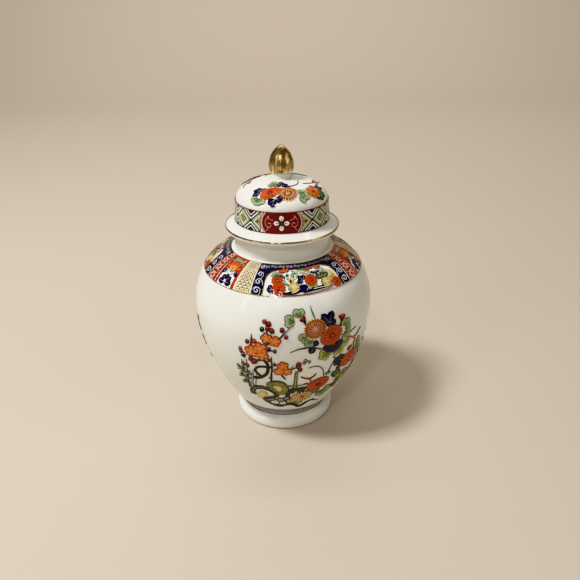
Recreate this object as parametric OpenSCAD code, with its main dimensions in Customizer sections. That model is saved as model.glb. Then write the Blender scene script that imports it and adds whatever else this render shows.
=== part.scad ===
// Covered porcelain jar of the ginger-jar kind: a baluster body on a flared foot,
// a brimmed domed lid that drops into the mouth, and a bud finial stuck on the lid.
// Millimetres, +Z up, origin at the centre of the foot's standing ring.

/* [Jar body] */
// Height of the body from the table to the rim of the mouth
jar_h = 164; // [130:1:230]
// Outside diameter at the belly, the widest place
belly_d = 140; // [110:1:190]
// Height of the belly above the table
belly_z = 105; // [80:1:112]
// Outside diameter where the body turns under towards the foot
hip_d = 90; // [78:1:104]
// Height of that turn above the table
hip_z = 24.6; // [22:0.1:32]
// Thickness of the cast wall
wall = 4.5; // [3:0.1:6]
// Thickness of the floor over the foot's recess
floor_t = 5; // [3:0.1:8]

/* [Neck and mouth] */
// Outside diameter of the neck
neck_d = 74; // [60:1:90]
// Height of the neck above the shoulder
neck_h = 14; // [10:0.5:24]
// Thickness of the neck's wall
neck_wall = 4; // [3:0.1:6]
// How far the neck draws in at its middle, on the radius
neck_draw = 0.5; // [0:0.1:1]
// Rounding on each edge of the rim
rim_round = 1; // [0.5:0.1:1.4]

/* [Foot] */
// Outside diameter of the flared foot
foot_d = 82; // [76:1:100]
// Height of the flared foot
foot_h = 11.4; // [9:0.1:14]
// Diameter of the waist between foot and body
waist_d = 71; // [60:1:74]
// Radial width of the unglazed ring that the jar stands on
foot_land = 4; // [3:0.1:6]
// Depth of the recess inside the foot
recess_h = 8; // [5:0.1:9]

/* [Lid] */
// How far the brim reaches past the neck, on the radius
brim_over = 5.8; // [3:0.1:9]
// Width of the brim outside the lid's upright band
brim_w = 7.4; // [5:0.1:10]
// Thickness of the brim at its edge
brim_t = 3.4; // [3:0.1:6]
// Rise of the brim from its edge to the foot of the band
brim_rise = 3.9; // [2:0.1:6]
// Height of the lid's upright band
band_h = 15.2; // [10:0.1:22]
// How far the band leans in over its height, on the radius
band_lean = 1.1; // [0:0.1:3]
// Height of the dome above the band
dome_h = 15; // [8:0.1:24]
// Thickness of the lid's wall
lid_wall = 4; // [3:0.1:5]
// Length of the collar that drops into the mouth
collar_h = 9; // [6:0.1:13]
// Wall of the collar
collar_wall = 3.5; // [2.5:0.1:5]
// Radial play between the collar and the mouth
collar_gap = 1; // [0.5:0.1:2]

/* [Finial] */
// Diameter of the white stem under the bud
stem_d = 14.4; // [9:0.1:16]
// Height of the stem above the dome
stem_h = 5; // [3:0.1:8]
// Widest diameter of the bud
bud_d = 18.4; // [17:0.1:26]
// Height of the bud
bud_h = 19.2; // [14:0.1:28]

/* [Hidden] */
$fn = 128;

belly_r = belly_d / 2;
hip_r = hip_d / 2;
neck_r = neck_d / 2;
mouth_r = neck_r - neck_wall;
neck_z = jar_h - neck_h;
foot_r = foot_d / 2;
waist_r = waist_d / 2;
floor_z = recess_h + floor_t;

brim_r = neck_r + brim_over;
band_r = brim_r - brim_w;
dome_r = band_r - band_lean;
collar_r = mouth_r - collar_gap;
brim_top_z = jar_h + brim_t;
band_z = brim_top_z + brim_rise;
dome_z = band_z + band_h;
stem_r = stem_d / 2;
stem_z = dome_z + dome_h;
bud_z = stem_z + stem_h;
bud_r = bud_d / 2;

// Straight pieces along a large curve and along a small rounding
curve_steps = 20;
small_steps = 6;
// Shape of the body: how far each curve holds its end directions, as shares of its own span
hip_hold = 0.055;
belly_hold_low = 0.5;
belly_hold_high = 0.27;
shoulder_hold = 0.85;
// Slope of the shoulder where it meets the neck, and of the body's side at the hip
shoulder_slope = 14;
hip_slope = 66;

// A cubic curve from a to d that leaves towards b and arrives from c.
function curve(a, b, c, d, n) =
    [for (i = [0 : n]) let (t = i / n, u = 1 - t)
        u * u * u * a + 3 * u * u * t * b + 3 * u * t * t * c + t * t * t * d];

// The points of a list after its first, so that joined curves share their ends once.
function rest_of(list) = [for (i = [1 : len(list) - 1]) list[i]];
function reversed(list) = [for (i = [len(list) - 1 : -1 : 0]) list[i]];

// A profile moved inwards by t, at right angles to its own run.
function inset(list, t) =
    [for (i = [0 : len(list) - 1])
        let (run = list[min(i + 1, len(list) - 1)] - list[max(i - 1, 0)])
        list[i] + t / norm(run) * [-run[1], run[0]]];

// The side of the body from the hip up to the belly, and the shoulder from there to the neck.
hip = [hip_r, hip_z];
belly = [belly_r, belly_z];
neck = [neck_r, neck_z];
side_low = curve(
    hip,
    hip + hip_hold * (belly_z - hip_z) * [cos(hip_slope), sin(hip_slope)],
    belly - [0, belly_hold_low * (belly_z - hip_z)],
    belly, curve_steps);
shoulder_reach = shoulder_hold * (belly_r - neck_r);
side_high = curve(
    belly,
    belly + [0, belly_hold_high * (neck_z - belly_z)],
    neck + shoulder_reach * [1, -tan(shoulder_slope)],
    neck, curve_steps);
side = concat(side_low, rest_of(side_high));

// The flared foot, from the standing ring out round its edge and in to the waist.
foot_edge_z = 0.42 * foot_h;
land_r = foot_r - 1.8;
foot_side = concat(
    curve([land_r, 0], [foot_r - 0.5, 0], [foot_r, foot_edge_z / 3], [foot_r, foot_edge_z], small_steps),
    rest_of(curve([foot_r, foot_edge_z], [foot_r, 0.8 * foot_h],
        [waist_r + 2.2, 0.86 * foot_h], [waist_r + 1.3, foot_h], small_steps)));
// The waist, and the underside of the body out to the hip.
waist_side = concat(
    curve([waist_r + 1.3, foot_h], [waist_r, foot_h + 1], [waist_r, foot_h + 2], [waist_r, foot_h + 3],
        small_steps),
    rest_of(curve([waist_r, foot_h + 3], [waist_r, hip_z - 3.6], [hip_r - 1.6, hip_z - 3.6], hip,
        2 * small_steps)));
// The neck, drawn in a little at its middle, and the rounded rim.
neck_side = concat(
    curve(neck, [neck_r - 1.6 * neck_draw, neck_z + 0.2 * neck_h],
        [neck_r - neck_draw, jar_h - 0.3 * neck_h], [neck_r, jar_h - rim_round], small_steps),
    [for (a = [30 : 30 : 90])
        [neck_r - rim_round + rim_round * cos(a), jar_h - rim_round + rim_round * sin(a)]]);
rim_inside =
    [for (a = [0 : 30 : 90])
        [mouth_r + rim_round - rim_round * sin(a), jar_h - rim_round + rim_round * cos(a)]];

// The inside follows the outside one wall thickness in, and rounds into the floor.
inside_side = [for (p = inset(side, wall)) if (p[0] > mouth_r + 0.5) p];
inside_top = inside_side[len(inside_side) - 1];
inside_hip = inside_side[0];
inside_waist = [waist_r - wall, foot_h + 6.5];
throat = curve(inside_top, inside_top + [mouth_r - inside_top[0], 0.4],
    [mouth_r, inside_top[1] + 0.8], [mouth_r, inside_top[1] + 2.5], small_steps);
basin = concat(
    curve([0.7 * waist_r, floor_z], [inside_waist[0], floor_z],
        [inside_waist[0], floor_z + 1], inside_waist, small_steps),
    rest_of(curve(inside_waist, inside_waist + [0, 3], inside_hip - [3, 3], inside_hip, small_steps)));

module jar_body() {
    recess_r = land_r - foot_land;
    color("ghostwhite")
    rotate_extrude()
    polygon(concat(
        [[0, recess_h], [waist_r - wall - 1, recess_h], [waist_r - wall, recess_h - 1], [recess_r, 0]],
        foot_side,
        rest_of(waist_side),
        rest_of(side),
        rest_of(neck_side),
        rim_inside,
        reversed(throat),
        rest_of(reversed(inside_side)),
        rest_of(reversed(basin)),
        [[0, floor_z]]));
}

// The brim's edge from its flat seat round to its upper side.
brim_edge = concat(
    curve([brim_r - 1.6, jar_h], [brim_r - 0.5, jar_h], [brim_r, jar_h + 0.3 * brim_t],
        [brim_r, jar_h + 0.6 * brim_t], small_steps),
    rest_of(curve([brim_r, jar_h + 0.6 * brim_t], [brim_r, jar_h + 0.9 * brim_t],
        [brim_r - 0.4, brim_top_z], [brim_r - 1.2, brim_top_z + 0.3], small_steps)));
brim_upper = curve([brim_r - 1.2, brim_top_z + 0.3], [band_r + 0.5 * brim_w, brim_top_z + 0.45 * brim_rise],
    [band_r + 0.6, band_z - 0.7], [band_r, band_z], small_steps);
// The dome, and the small fillet where the stem stands on it.
dome_side = curve([dome_r, dome_z], [dome_r - 0.7, dome_z + 0.67 * dome_h],
    [0.64 * dome_r, stem_z - 2], [stem_r + 1.2, stem_z], curve_steps);
stem_side = curve([stem_r + 1.2, stem_z], [stem_r + 0.3, stem_z + 0.3], [stem_r, stem_z + 1],
    [stem_r, bud_z], small_steps);
// The hollow under the lid: up inside the collar, out to the band's wall, and over under the dome.
collar_in_r = collar_r - collar_wall;
hollow_r = max(band_r - lid_wall, collar_in_r);
hollow = concat(
    [[collar_in_r, jar_h - collar_h + 1], [collar_in_r, jar_h + 1]],
    rest_of(curve([collar_in_r, jar_h + 1], [collar_in_r, jar_h + 4], [hollow_r, brim_top_z + 1],
        [hollow_r, band_z + 1], small_steps)),
    [[hollow_r - band_lean, dome_z]],
    rest_of(curve([hollow_r - band_lean, dome_z], [hollow_r - band_lean - 0.6, dome_z + 0.6 * dome_h],
        [0.6 * hollow_r, stem_z - lid_wall - 1.6], [0, stem_z - lid_wall], curve_steps)));

module lid() {
    color("ghostwhite")
    rotate_extrude()
    polygon(concat(
        [[0, bud_z]],
        reversed(stem_side),
        rest_of(reversed(dome_side)),
        rest_of(reversed(brim_upper)),
        rest_of(reversed(brim_edge)),
        [[collar_r, jar_h], [collar_r, jar_h - collar_h + 1], [collar_r - 1, jar_h - collar_h],
            [collar_in_r + 1, jar_h - collar_h]],
        hollow));
}

// The bud: a flat seat on the stem, a full lower turn, and long full sides that close in a point.
bud_belly_z = bud_z + 0.26 * bud_h;
bud_side = concat(
    curve([stem_r + 0.4, bud_z], [bud_r - 0.4, bud_z], [bud_r, bud_z + 0.12 * bud_h],
        [bud_r, bud_belly_z], small_steps),
    rest_of(curve([bud_r, bud_belly_z], [bud_r, bud_belly_z + 0.26 * bud_h],
        [0.63 * bud_r, bud_z + 0.87 * bud_h], [0, bud_z + bud_h], curve_steps)));

module finial() {
    color("goldenrod")
    rotate_extrude()
    polygon(concat([[0, bud_z], [stem_r, bud_z]], bud_side));
}

jar_body();
lid();
finial();
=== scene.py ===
import math

import bpy
from mathutils import Matrix, Vector


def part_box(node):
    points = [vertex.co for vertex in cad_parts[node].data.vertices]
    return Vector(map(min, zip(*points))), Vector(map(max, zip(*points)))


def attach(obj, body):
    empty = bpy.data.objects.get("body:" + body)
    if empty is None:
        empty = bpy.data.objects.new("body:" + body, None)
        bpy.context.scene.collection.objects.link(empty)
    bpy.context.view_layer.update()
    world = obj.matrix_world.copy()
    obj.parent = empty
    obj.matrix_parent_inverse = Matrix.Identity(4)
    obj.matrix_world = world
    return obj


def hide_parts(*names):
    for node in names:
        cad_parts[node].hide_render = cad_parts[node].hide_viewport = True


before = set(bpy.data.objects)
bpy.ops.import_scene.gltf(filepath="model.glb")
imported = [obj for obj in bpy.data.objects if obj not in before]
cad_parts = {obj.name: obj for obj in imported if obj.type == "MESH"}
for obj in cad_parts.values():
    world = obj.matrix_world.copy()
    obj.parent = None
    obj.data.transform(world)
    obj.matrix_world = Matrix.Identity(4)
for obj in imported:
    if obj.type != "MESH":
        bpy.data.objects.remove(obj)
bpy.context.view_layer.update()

# The jar: one porcelain casting from the foot to the rim of its mouth, clear glazed inside and out.
# It is a turned shape, so it is drawn as half of its outline, in millimetres from the axis and from
# the table, and a lathe of Geometry Nodes turns that outline round the axis.
MM = 0.001
jar_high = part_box("jar_body")[1]
JAR_HEIGHT = jar_high.z / MM
BELLY_RADIUS = jar_high.x / MM
BELLY_HEIGHT = 105
SHOULDER_HEIGHT = JAR_HEIGHT - 14
NECK_RADIUS = 37
MOUTH_RADIUS = 33
FOOT_RADIUS = 41
WAIST_RADIUS = 35.5
HIP = (45, 24.6)
BODY_WALL = 4.5
NECK_FOOT = (36.55, 151.2)
SHARP_EDGE = math.radians(50)
WELD = 1e-7


def sweep(start, leave, arrive, end, steps):
    """The points of a curve that leaves start towards one point and arrives at end from another."""
    points = []
    for i in range(steps + 1):
        t = i / steps
        weights = ((1 - t) ** 3, 3 * t * (1 - t) ** 2, 3 * t * t * (1 - t), t ** 3)
        points.append(tuple(sum(w * p[axis] for w, p in zip(weights, (start, leave, arrive, end)))
                            for axis in (0, 1)))
    return points


def joined(*runs):
    """Several runs of points as one, without the doubled points where they meet."""
    points = []
    for run in runs:
        for point in run:
            if not points or math.dist(points[-1], point) > 1e-6:
                points.append(point)
    return points


def inset(points, depth):
    """The same run of points, moved to the left of its own direction by one depth."""
    moved = []
    for i, (r, z) in enumerate(points):
        ahead, behind = points[min(i + 1, len(points) - 1)], points[max(i - 1, 0)]
        across, up = ahead[0] - behind[0], ahead[1] - behind[1]
        length = math.hypot(across, up)
        moved.append((r - depth * up / length, z + depth * across / length))
    return moved


jar_outside = joined(
    sweep((38.9, 0.5), (40.4, 0.4), (FOOT_RADIUS, 1.6), (FOOT_RADIUS, 4.8), 10),
    sweep((FOOT_RADIUS, 4.8), (FOOT_RADIUS, 9.1), (37.7, 9.8), (36.8, 11.4), 12),
    sweep((36.8, 11.4), (35.7, 12.3), (WAIST_RADIUS, 13.4), (WAIST_RADIUS, 14.4), 6),
    sweep((WAIST_RADIUS, 14.4), (WAIST_RADIUS, 21), (43.4, 21), HIP, 16),
    sweep(HIP, (46.8, 28.6), (BELLY_RADIUS, 64.8), (BELLY_RADIUS, BELLY_HEIGHT), 40),
    sweep((BELLY_RADIUS, BELLY_HEIGHT), (BELLY_RADIUS, 117.2), (65.1, 143), (NECK_RADIUS + 0.6, 149.85), 44),
    sweep((NECK_RADIUS + 0.6, 149.85), (36.9, 150), (36.6, 150.4), NECK_FOOT, 5),
    sweep(NECK_FOOT, (36.3, 154), (36.4, 160), (NECK_RADIUS, JAR_HEIGHT - 1), 12),
    sweep((NECK_RADIUS, JAR_HEIGHT - 1), (NECK_RADIUS, JAR_HEIGHT - 0.4), (36.6, JAR_HEIGHT),
          (36, JAR_HEIGHT), 6))
inner_side = [p for p in inset(jar_outside, BODY_WALL) if 28 < p[1] < SHOULDER_HEIGHT - 4.2]
jar_inside = joined([(34, JAR_HEIGHT)], sweep((34, JAR_HEIGHT), (33.4, JAR_HEIGHT),
    (MOUTH_RADIUS, JAR_HEIGHT - 0.4), (MOUTH_RADIUS, JAR_HEIGHT - 1), 6),
    sweep((MOUTH_RADIUS, JAR_HEIGHT - 1), (MOUTH_RADIUS, 156), (MOUTH_RADIUS, 150), (MOUTH_RADIUS, 148.4),
    8), sweep((MOUTH_RADIUS, 148.4), (MOUTH_RADIUS, 146.4), (34.4, 146.2), inner_side[-1], 8),
    inner_side[::-1], sweep(inner_side[0], (37.5, 24), (31, 20), (31, 17.9), 10), sweep((31, 17.9),
    (31, 14), (29, 13), (24.9, 13), 8), [(12, 13), (0, 13)])
jar_under = joined(
    [(0, 8), (15, 8), (29.4, 8)],
    sweep((29.4, 8), (30.6, 8), (31.1, 7.2), (31.5, 6.4), 6),
    [(33.2, 3.4)],
    sweep((34.8, 0.9), (35, 0.55), (35.2, 0.5), (35.6, 0.5), 4))
jar_outline = joined(jar_under, jar_outside, jar_inside)


def add(tree, kind, feeds=None, **settings):
    """Adds one node with its settings. A feed is a value for an input, or the output that drives it."""
    node = tree.nodes.new(kind)
    for name, value in settings.items():
        setattr(node, name, value)
    for name, value in (feeds or {}).items():
        if isinstance(value, bpy.types.NodeSocket):
            tree.links.new(value, node.inputs[name])
        else:
            node.inputs[name].default_value = value
    return node


def new_tree(name, inputs):
    """An empty Geometry Nodes tree with named inputs, and its first and last nodes."""
    tree = bpy.data.node_groups.new(name, "GeometryNodeTree")
    tree.interface.new_socket("Geometry", in_out="OUTPUT", socket_type="NodeSocketGeometry")
    tree.interface.new_socket("Geometry", in_out="INPUT", socket_type="NodeSocketGeometry")
    for socket_name, kind in inputs:
        tree.interface.new_socket(socket_name, in_out="INPUT", socket_type=kind)
    return tree, add(tree, "NodeGroupInput"), add(tree, "NodeGroupOutput")


def made_by(name, tree, drawn, **inputs):
    """Runs a tree over a drawn mesh and returns the result as a plain mesh object."""
    maker = bpy.data.objects.new(name + "_drawn", drawn)
    bpy.context.scene.collection.objects.link(maker)
    modifier = maker.modifiers.new("made", "NODES")
    modifier.node_group = tree
    for socket in tree.interface.items_tree:
        if socket.in_out == "INPUT" and socket.name in inputs:
            modifier[socket.identifier] = inputs[socket.name]
    graph = bpy.context.evaluated_depsgraph_get()
    mesh = bpy.data.meshes.new_from_object(maker.evaluated_get(graph), preserve_all_data_layers=True,
                                           depsgraph=graph)
    maker.modifiers.clear()
    bpy.data.objects.remove(maker)
    piece = bpy.data.objects.new(name, mesh)
    mesh.name = name
    bpy.context.scene.collection.objects.link(piece)
    return piece


lathe, given, result = new_tree("lathe", [("Segments", "NodeSocketInt"), ("Material", "NodeSocketMaterial")])
rows = add(lathe, "GeometryNodeAttributeDomainSize", {"Geometry": given.outputs["Geometry"]},
    component="MESH")
columns = add(lathe, "ShaderNodeMath", {0: given.outputs["Segments"], 1: 1.0})
net = add(lathe, "GeometryNodeMeshGrid", {"Size X": 1.0, "Size Y": 1.0, "Vertices X": columns.outputs[0],
                                          "Vertices Y": rows.outputs["Point Count"]})
place = add(lathe, "ShaderNodeSeparateXYZ", {0: add(lathe, "GeometryNodeInputPosition").outputs[0]})
share = add(lathe, "ShaderNodeMath", {0: place.outputs["Y"], 1: 0.5})
last = add(lathe, "ShaderNodeMath", {0: rows.outputs["Point Count"], 1: 1.0}, operation="SUBTRACT")
row = add(lathe, "ShaderNodeMath", {0: add(lathe, "ShaderNodeMath", {0: share.outputs[0], 1: last.outputs[0]},
                                           operation="MULTIPLY").outputs[0]}, operation="ROUND")
turn = add(lathe, "ShaderNodeMath", {0: place.outputs["X"], 1: 2 * math.pi}, operation="MULTIPLY")
drawn_place = add(lathe, "GeometryNodeSampleIndex",
                  {"Geometry": given.outputs["Geometry"], "Index": row.outputs[0],
                   "Value": add(lathe, "GeometryNodeInputPosition").outputs[0]},
                  data_type="FLOAT_VECTOR", domain="POINT")
drawn_pool = add(lathe, "GeometryNodeSampleIndex",
                 {"Geometry": given.outputs["Geometry"], "Index": row.outputs[0],
                  "Value": add(lathe, "GeometryNodeInputNamedAttribute", {"Name": "pool"},
                               data_type="FLOAT").outputs[0]},
                 data_type="FLOAT", domain="POINT")
marked = add(lathe, "GeometryNodeStoreNamedAttribute",
             {"Geometry": net.outputs["Mesh"], "Name": "pool", "Value": drawn_pool.outputs[0]},
             data_type="FLOAT", domain="POINT")
outline_place = add(lathe, "ShaderNodeSeparateXYZ", {0: drawn_place.outputs[0]})
side_x = add(lathe, "ShaderNodeMath",
             {0: outline_place.outputs["X"],
              1: add(lathe, "ShaderNodeMath", {0: turn.outputs[0]}, operation="SINE").outputs[0]},
             operation="MULTIPLY")
side_y = add(lathe, "ShaderNodeMath",
             {0: outline_place.outputs["X"],
              1: add(lathe, "ShaderNodeMath", {0: turn.outputs[0]}, operation="COSINE").outputs[0]},
             operation="MULTIPLY")
turned_place = add(lathe, "ShaderNodeCombineXYZ", {
    "X": side_x.outputs[0],
    "Y": add(lathe, "ShaderNodeMath", {0: side_y.outputs[0], 1: -1.0}, operation="MULTIPLY").outputs[0],
    "Z": outline_place.outputs["Z"]})
turned = add(lathe, "GeometryNodeSetPosition",
             {"Geometry": marked.outputs["Geometry"], "Position": turned_place.outputs[0]})
closed = add(lathe, "GeometryNodeMergeByDistance", {"Geometry": turned.outputs["Geometry"], "Distance": WELD})
smooth = add(lathe, "GeometryNodeSetShadeSmooth", {0: closed.outputs["Geometry"]})
real = add(lathe, "GeometryNodeRealizeInstances", {"Geometry": smooth.outputs[0]})
finished = add(lathe, "GeometryNodeSetMaterial",
               {"Geometry": real.outputs["Geometry"], "Material": given.outputs["Material"]})
lathe.links.new(finished.outputs["Geometry"], result.inputs["Geometry"])


def turned_piece(name, outline, segments, material):
    """A solid of revolution from a half outline that starts and ends on the axis, or closes on itself.
    It also marks where glaze pools: in the hollows of the outline."""
    drawn = bpy.data.meshes.new(name + "_outline")
    drawn.from_pydata([(r * MM, 0, z * MM) for r, z in outline],
                      [(i, i + 1) for i in range(len(outline) - 1)], [])
    pools = []
    for i in range(len(outline)):
        before, here, after = outline[max(i - 1, 0)], outline[i], outline[min(i + 1, len(outline) - 1)]
        one = math.atan2(here[1] - before[1], here[0] - before[0])
        two = math.atan2(after[1] - here[1], after[0] - here[0])
        bend = math.remainder(one - two, 2 * math.pi)
        pools.append(min(max(6 * bend / max(math.dist(before, after), 0.5), 0), 1)
            if 0 < i < len(outline) - 1 else 0)
    for _ in range(6):
        pools = [(pools[max(i - 1, 0)] + 2 * pools[i] + pools[min(i + 1, len(pools) - 1)]) / 4
                 for i in range(len(pools))]
    drawn.attributes.new("pool", "FLOAT", "POINT").data.foreach_set("value", pools)
    piece = made_by(name, lathe, drawn, Segments=segments, Material=material)
    piece.data.set_sharp_from_angle(angle=SHARP_EDGE)
    return piece


def linear(hex_colour):
    """An sRGB colour such as "#e6e6dc" as linear light."""
    values = [int(hex_colour[i:i + 2], 16) / 255 for i in (1, 3, 5)]
    return tuple(v / 12.92 if v <= 0.04045 else ((v + 0.055) / 1.055) ** 2.4 for v in values) + (1.0,)


def new_material(name):
    """A material with a Principled surface, and its tree and surface node."""
    material = bpy.data.materials.new(name)
    material.use_nodes = True
    tree = material.node_tree
    return material, tree, tree.nodes["Principled BSDF"]


def porcelain_glaze():
    """Hard-paste porcelain under a clear feldspar glaze: cold white, a little green where the glaze is
    thick, mirror smooth with the faint waviness of a dipped glaze, and a few fine iron specks."""
    material, tree, surface = new_material("porcelain_glaze")
    where = add(tree, "ShaderNodeTexCoord").outputs["Object"]
    cloud = add(tree, "ShaderNodeTexNoise", {"Vector": where, "Scale": 22.0, "Detail": 3.0})
    body = add(tree, "ShaderNodeMix", {"Factor": cloud.outputs["Fac"], 6: linear("#e6e7e0"),
                                       7: linear("#efefe9")}, data_type="RGBA")
    pool = add(tree, "ShaderNodeAttribute", attribute_name="pool")
    thick = add(tree, "ShaderNodeMix", {"Factor": pool.outputs["Fac"], 6: body.outputs[2],
                                        7: linear("#dadbd0")}, data_type="RGBA")
    specks = add(tree, "ShaderNodeTexVoronoi", {"Vector": where, "Scale": 260.0}, feature="F1")
    speck = add(tree, "ShaderNodeMapRange", {"Value": specks.outputs["Distance"], "From Min": 0.045,
                                             "From Max": 0.075, "To Min": 0.55, "To Max": 0.0})
    rare = add(tree, "ShaderNodeMath", {0: add(tree, "ShaderNodeSeparateColor",
                                               {0: specks.outputs["Color"]}).outputs[0], 1: 0.93},
               operation="GREATER_THAN")
    spot = add(tree, "ShaderNodeMath", {0: speck.outputs[0], 1: rare.outputs[0]}, operation="MULTIPLY")
    speckled = add(tree, "ShaderNodeMix", {"Factor": spot.outputs[0], 6: thick.outputs[2],
                                           7: linear("#8d7f66")}, data_type="RGBA")
    wave = add(tree, "ShaderNodeTexNoise", {"Vector": where, "Scale": 60.0, "Detail": 2.0})
    ripple = add(tree, "ShaderNodeBump", {"Height": wave.outputs["Fac"], "Strength": 0.12,
        "Distance": 0.0004})
    dull = add(tree, "ShaderNodeMapRange", {"Value": cloud.outputs["Fac"], "To Min": 0.05, "To Max": 0.11})
    tree.links.new(speckled.outputs[2], surface.inputs["Base Color"])
    tree.links.new(dull.outputs[0], surface.inputs["Roughness"])
    tree.links.new(ripple.outputs[0], surface.inputs["Normal"])
    surface.inputs["IOR"].default_value = 1.52
    return material


glaze = porcelain_glaze()
jar = turned_piece("jar_glaze", jar_outline, 240, glaze)
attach(jar, "jar")
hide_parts("jar_body")

# The standing ring: the edge of the foot that is wiped clean of glaze, so that the jar doesn't stick to
# the kiln shelf. It is bare fired porcelain, dull and a little buff, and it carries the jar.
ring_outline = joined(
    sweep((35.5, 1.2), (35.5, 0.5), (35.9, 0), (36.6, 0), 6),
    sweep((37.9, 0), (38.7, 0), (39.05, 0.4), (39.1, 1.2), 6),
    [(37.3, 1.6), (35.5, 1.2)])


def bare_porcelain():
    """Unglazed porcelain: matt, buff, with the fine grit of the clay and darker handling marks."""
    material, tree, surface = new_material("bare_porcelain")
    where = add(tree, "ShaderNodeTexCoord").outputs["Object"]
    grit = add(tree, "ShaderNodeTexNoise", {"Vector": where, "Scale": 1800.0, "Detail": 2.0})
    stain = add(tree, "ShaderNodeTexNoise", {"Vector": where, "Scale": 90.0, "Detail": 3.0})
    clay = add(tree, "ShaderNodeMix", {"Factor": stain.outputs["Fac"], 6: linear("#b8a888"),
                                       7: linear("#d9cfb8")}, data_type="RGBA")
    rough = add(tree, "ShaderNodeBump", {"Height": grit.outputs["Fac"], "Strength": 0.5, "Distance": 0.0002})
    tree.links.new(clay.outputs[2], surface.inputs["Base Color"])
    tree.links.new(rough.outputs[0], surface.inputs["Normal"])
    surface.inputs["Roughness"].default_value = 0.8
    return material


ring = turned_piece("standing_ring", ring_outline, 160, bare_porcelain())
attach(ring, "jar")

# The waist band: a narrow printed border round the waist between two lines. Like all the painting on
# the jar, it is vitreous colour fired on the glaze, which stands a little proud and takes the same
# gloss. Each stroke is drawn flat, and a tree of Geometry Nodes lays it on the jar.
WAIST_LOW, WAIST_HIGH = 11.9, 17.6
WAIST_REPEATS = 40
ENAMEL_RISE = 0.06
COAT_RISE = 0.04
STROKE_RISE = 0.0025
STROKE_LEVELS = 9
CROWN = 0.03
ENAMEL_THICKNESS = 0.42


class Skin:
    """The outside of a turned piece, on which a spot is named by its turn in degrees and its height."""

    def __init__(self, name, outline):
        self.name = name
        self.points = outline
        self.runs = [0.0]
        for one, two in zip(outline, outline[1:]):
            self.runs.append(self.runs[-1] + math.dist(one, two))
        curve = bpy.data.curves.new(name, "CURVE")
        curve.dimensions = "3D"
        spline = curve.splines.new("POLY")
        spline.points.add(len(outline) - 1)
        for point, (r, z) in zip(spline.points, outline):
            point.co = (r * MM, 0, z * MM, 1)
        self.curve = bpy.data.objects.new(name, curve)
        bpy.context.scene.collection.objects.link(self.curve)

    def between(self, value, keys, results):
        """Reads results at a value of the rising keys."""
        value = min(max(value, keys[0]), keys[-1])
        i = next(i for i in range(1, len(keys)) if keys[i] >= value)
        span = keys[i] - keys[i - 1]
        share = (value - keys[i - 1]) / span if span > 1e-9 else 0.0
        return results[i - 1] + share * (results[i] - results[i - 1])

    def run(self, height):
        """How far along the outline a height is."""
        return self.between(height, [z for _, z in self.points], self.runs)

    def girth(self, run):
        """The radius at a distance along the outline."""
        return self.between(run, self.runs, [r for r, _ in self.points])


wrap, given, result = new_tree("lay_on_skin", [("Skin", "NodeSocketObject"), ("Copies", "NodeSocketInt"),
    ("Thickness", "NodeSocketFloat"), ("Material", "NodeSocketMaterial")])
# Known fault: with no Offset linked, the extrusion follows the face normals, so the shell grows outwards
# from the drawing instead of sinking into the glaze, and the flip turns its faces inwards.
grown = add(wrap, "GeometryNodeExtrudeMesh", {
    "Mesh": given.outputs["Geometry"], "Offset Scale": given.outputs["Thickness"], "Individual": False},
            mode="FACES")
flipped = add(wrap, "GeometryNodeFlipFaces", {"Mesh": grown.outputs["Mesh"]})
shell = add(wrap, "GeometryNodeJoinGeometry")
wrap.links.new(flipped.outputs["Mesh"], shell.inputs["Geometry"])
wrap.links.new(given.outputs["Geometry"], shell.inputs["Geometry"])
whole = add(wrap, "GeometryNodeMergeByDistance", {"Geometry": shell.outputs["Geometry"], "Distance": WELD})
flat = add(wrap, "ShaderNodeSeparateXYZ", {0: add(wrap, "GeometryNodeInputPosition").outputs[0]})
skin_shape = add(wrap, "GeometryNodeObjectInfo", {"Object": given.outputs["Skin"]},
    transform_space="ORIGINAL")
spot = add(wrap, "GeometryNodeSampleCurve", {"Curves": skin_shape.outputs["Geometry"],
                                             "Length": flat.outputs["Y"]}, mode="LENGTH")
along = add(wrap, "ShaderNodeSeparateXYZ", {0: spot.outputs["Tangent"]})
outward = add(wrap, "ShaderNodeCombineXYZ", {
    "X": along.outputs["Z"],
    "Z": add(wrap, "ShaderNodeMath", {0: along.outputs["X"], 1: -1.0}, operation="MULTIPLY").outputs[0]})
rise = add(wrap, "ShaderNodeVectorMath", {0: outward.outputs[0], 3: flat.outputs["Z"]}, operation="SCALE")
raised = add(wrap, "ShaderNodeVectorMath", {0: spot.outputs["Position"], 1: rise.outputs[0]})
raised_axes = add(wrap, "ShaderNodeSeparateXYZ", {0: raised.outputs[0]})
sine = add(wrap, "ShaderNodeMath", {0: flat.outputs["X"]}, operation="SINE")
cosine = add(wrap, "ShaderNodeMath", {0: flat.outputs["X"]}, operation="COSINE")
wrap_x = add(wrap, "ShaderNodeMath", {0: raised_axes.outputs["X"], 1: sine.outputs[0]}, operation="MULTIPLY")
wrap_y = add(wrap, "ShaderNodeMath", {0: raised_axes.outputs["X"], 1: cosine.outputs[0]},
    operation="MULTIPLY")
wrap_back = add(wrap, "ShaderNodeMath", {0: wrap_y.outputs[0], 1: -1.0}, operation="MULTIPLY")
wrapped_place = add(wrap, "ShaderNodeCombineXYZ", {"X": wrap_x.outputs[0], "Y": wrap_back.outputs[0],
                                                   "Z": raised_axes.outputs["Z"]})
laid = add(wrap, "GeometryNodeSetPosition", {"Geometry": whole.outputs["Geometry"],
                                             "Position": wrapped_place.outputs[0]})
seats = add(wrap, "GeometryNodePoints", {"Count": given.outputs["Copies"]})
step = add(wrap, "ShaderNodeMath", {0: 2 * math.pi, 1: given.outputs["Copies"]}, operation="DIVIDE")
seat_turn = add(wrap, "ShaderNodeMath", {0: add(wrap, "GeometryNodeInputIndex").outputs[0],
                                         1: step.outputs[0]}, operation="MULTIPLY")
seat_facing = add(wrap, "ShaderNodeCombineXYZ", {"Z": seat_turn.outputs[0]})
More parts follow.
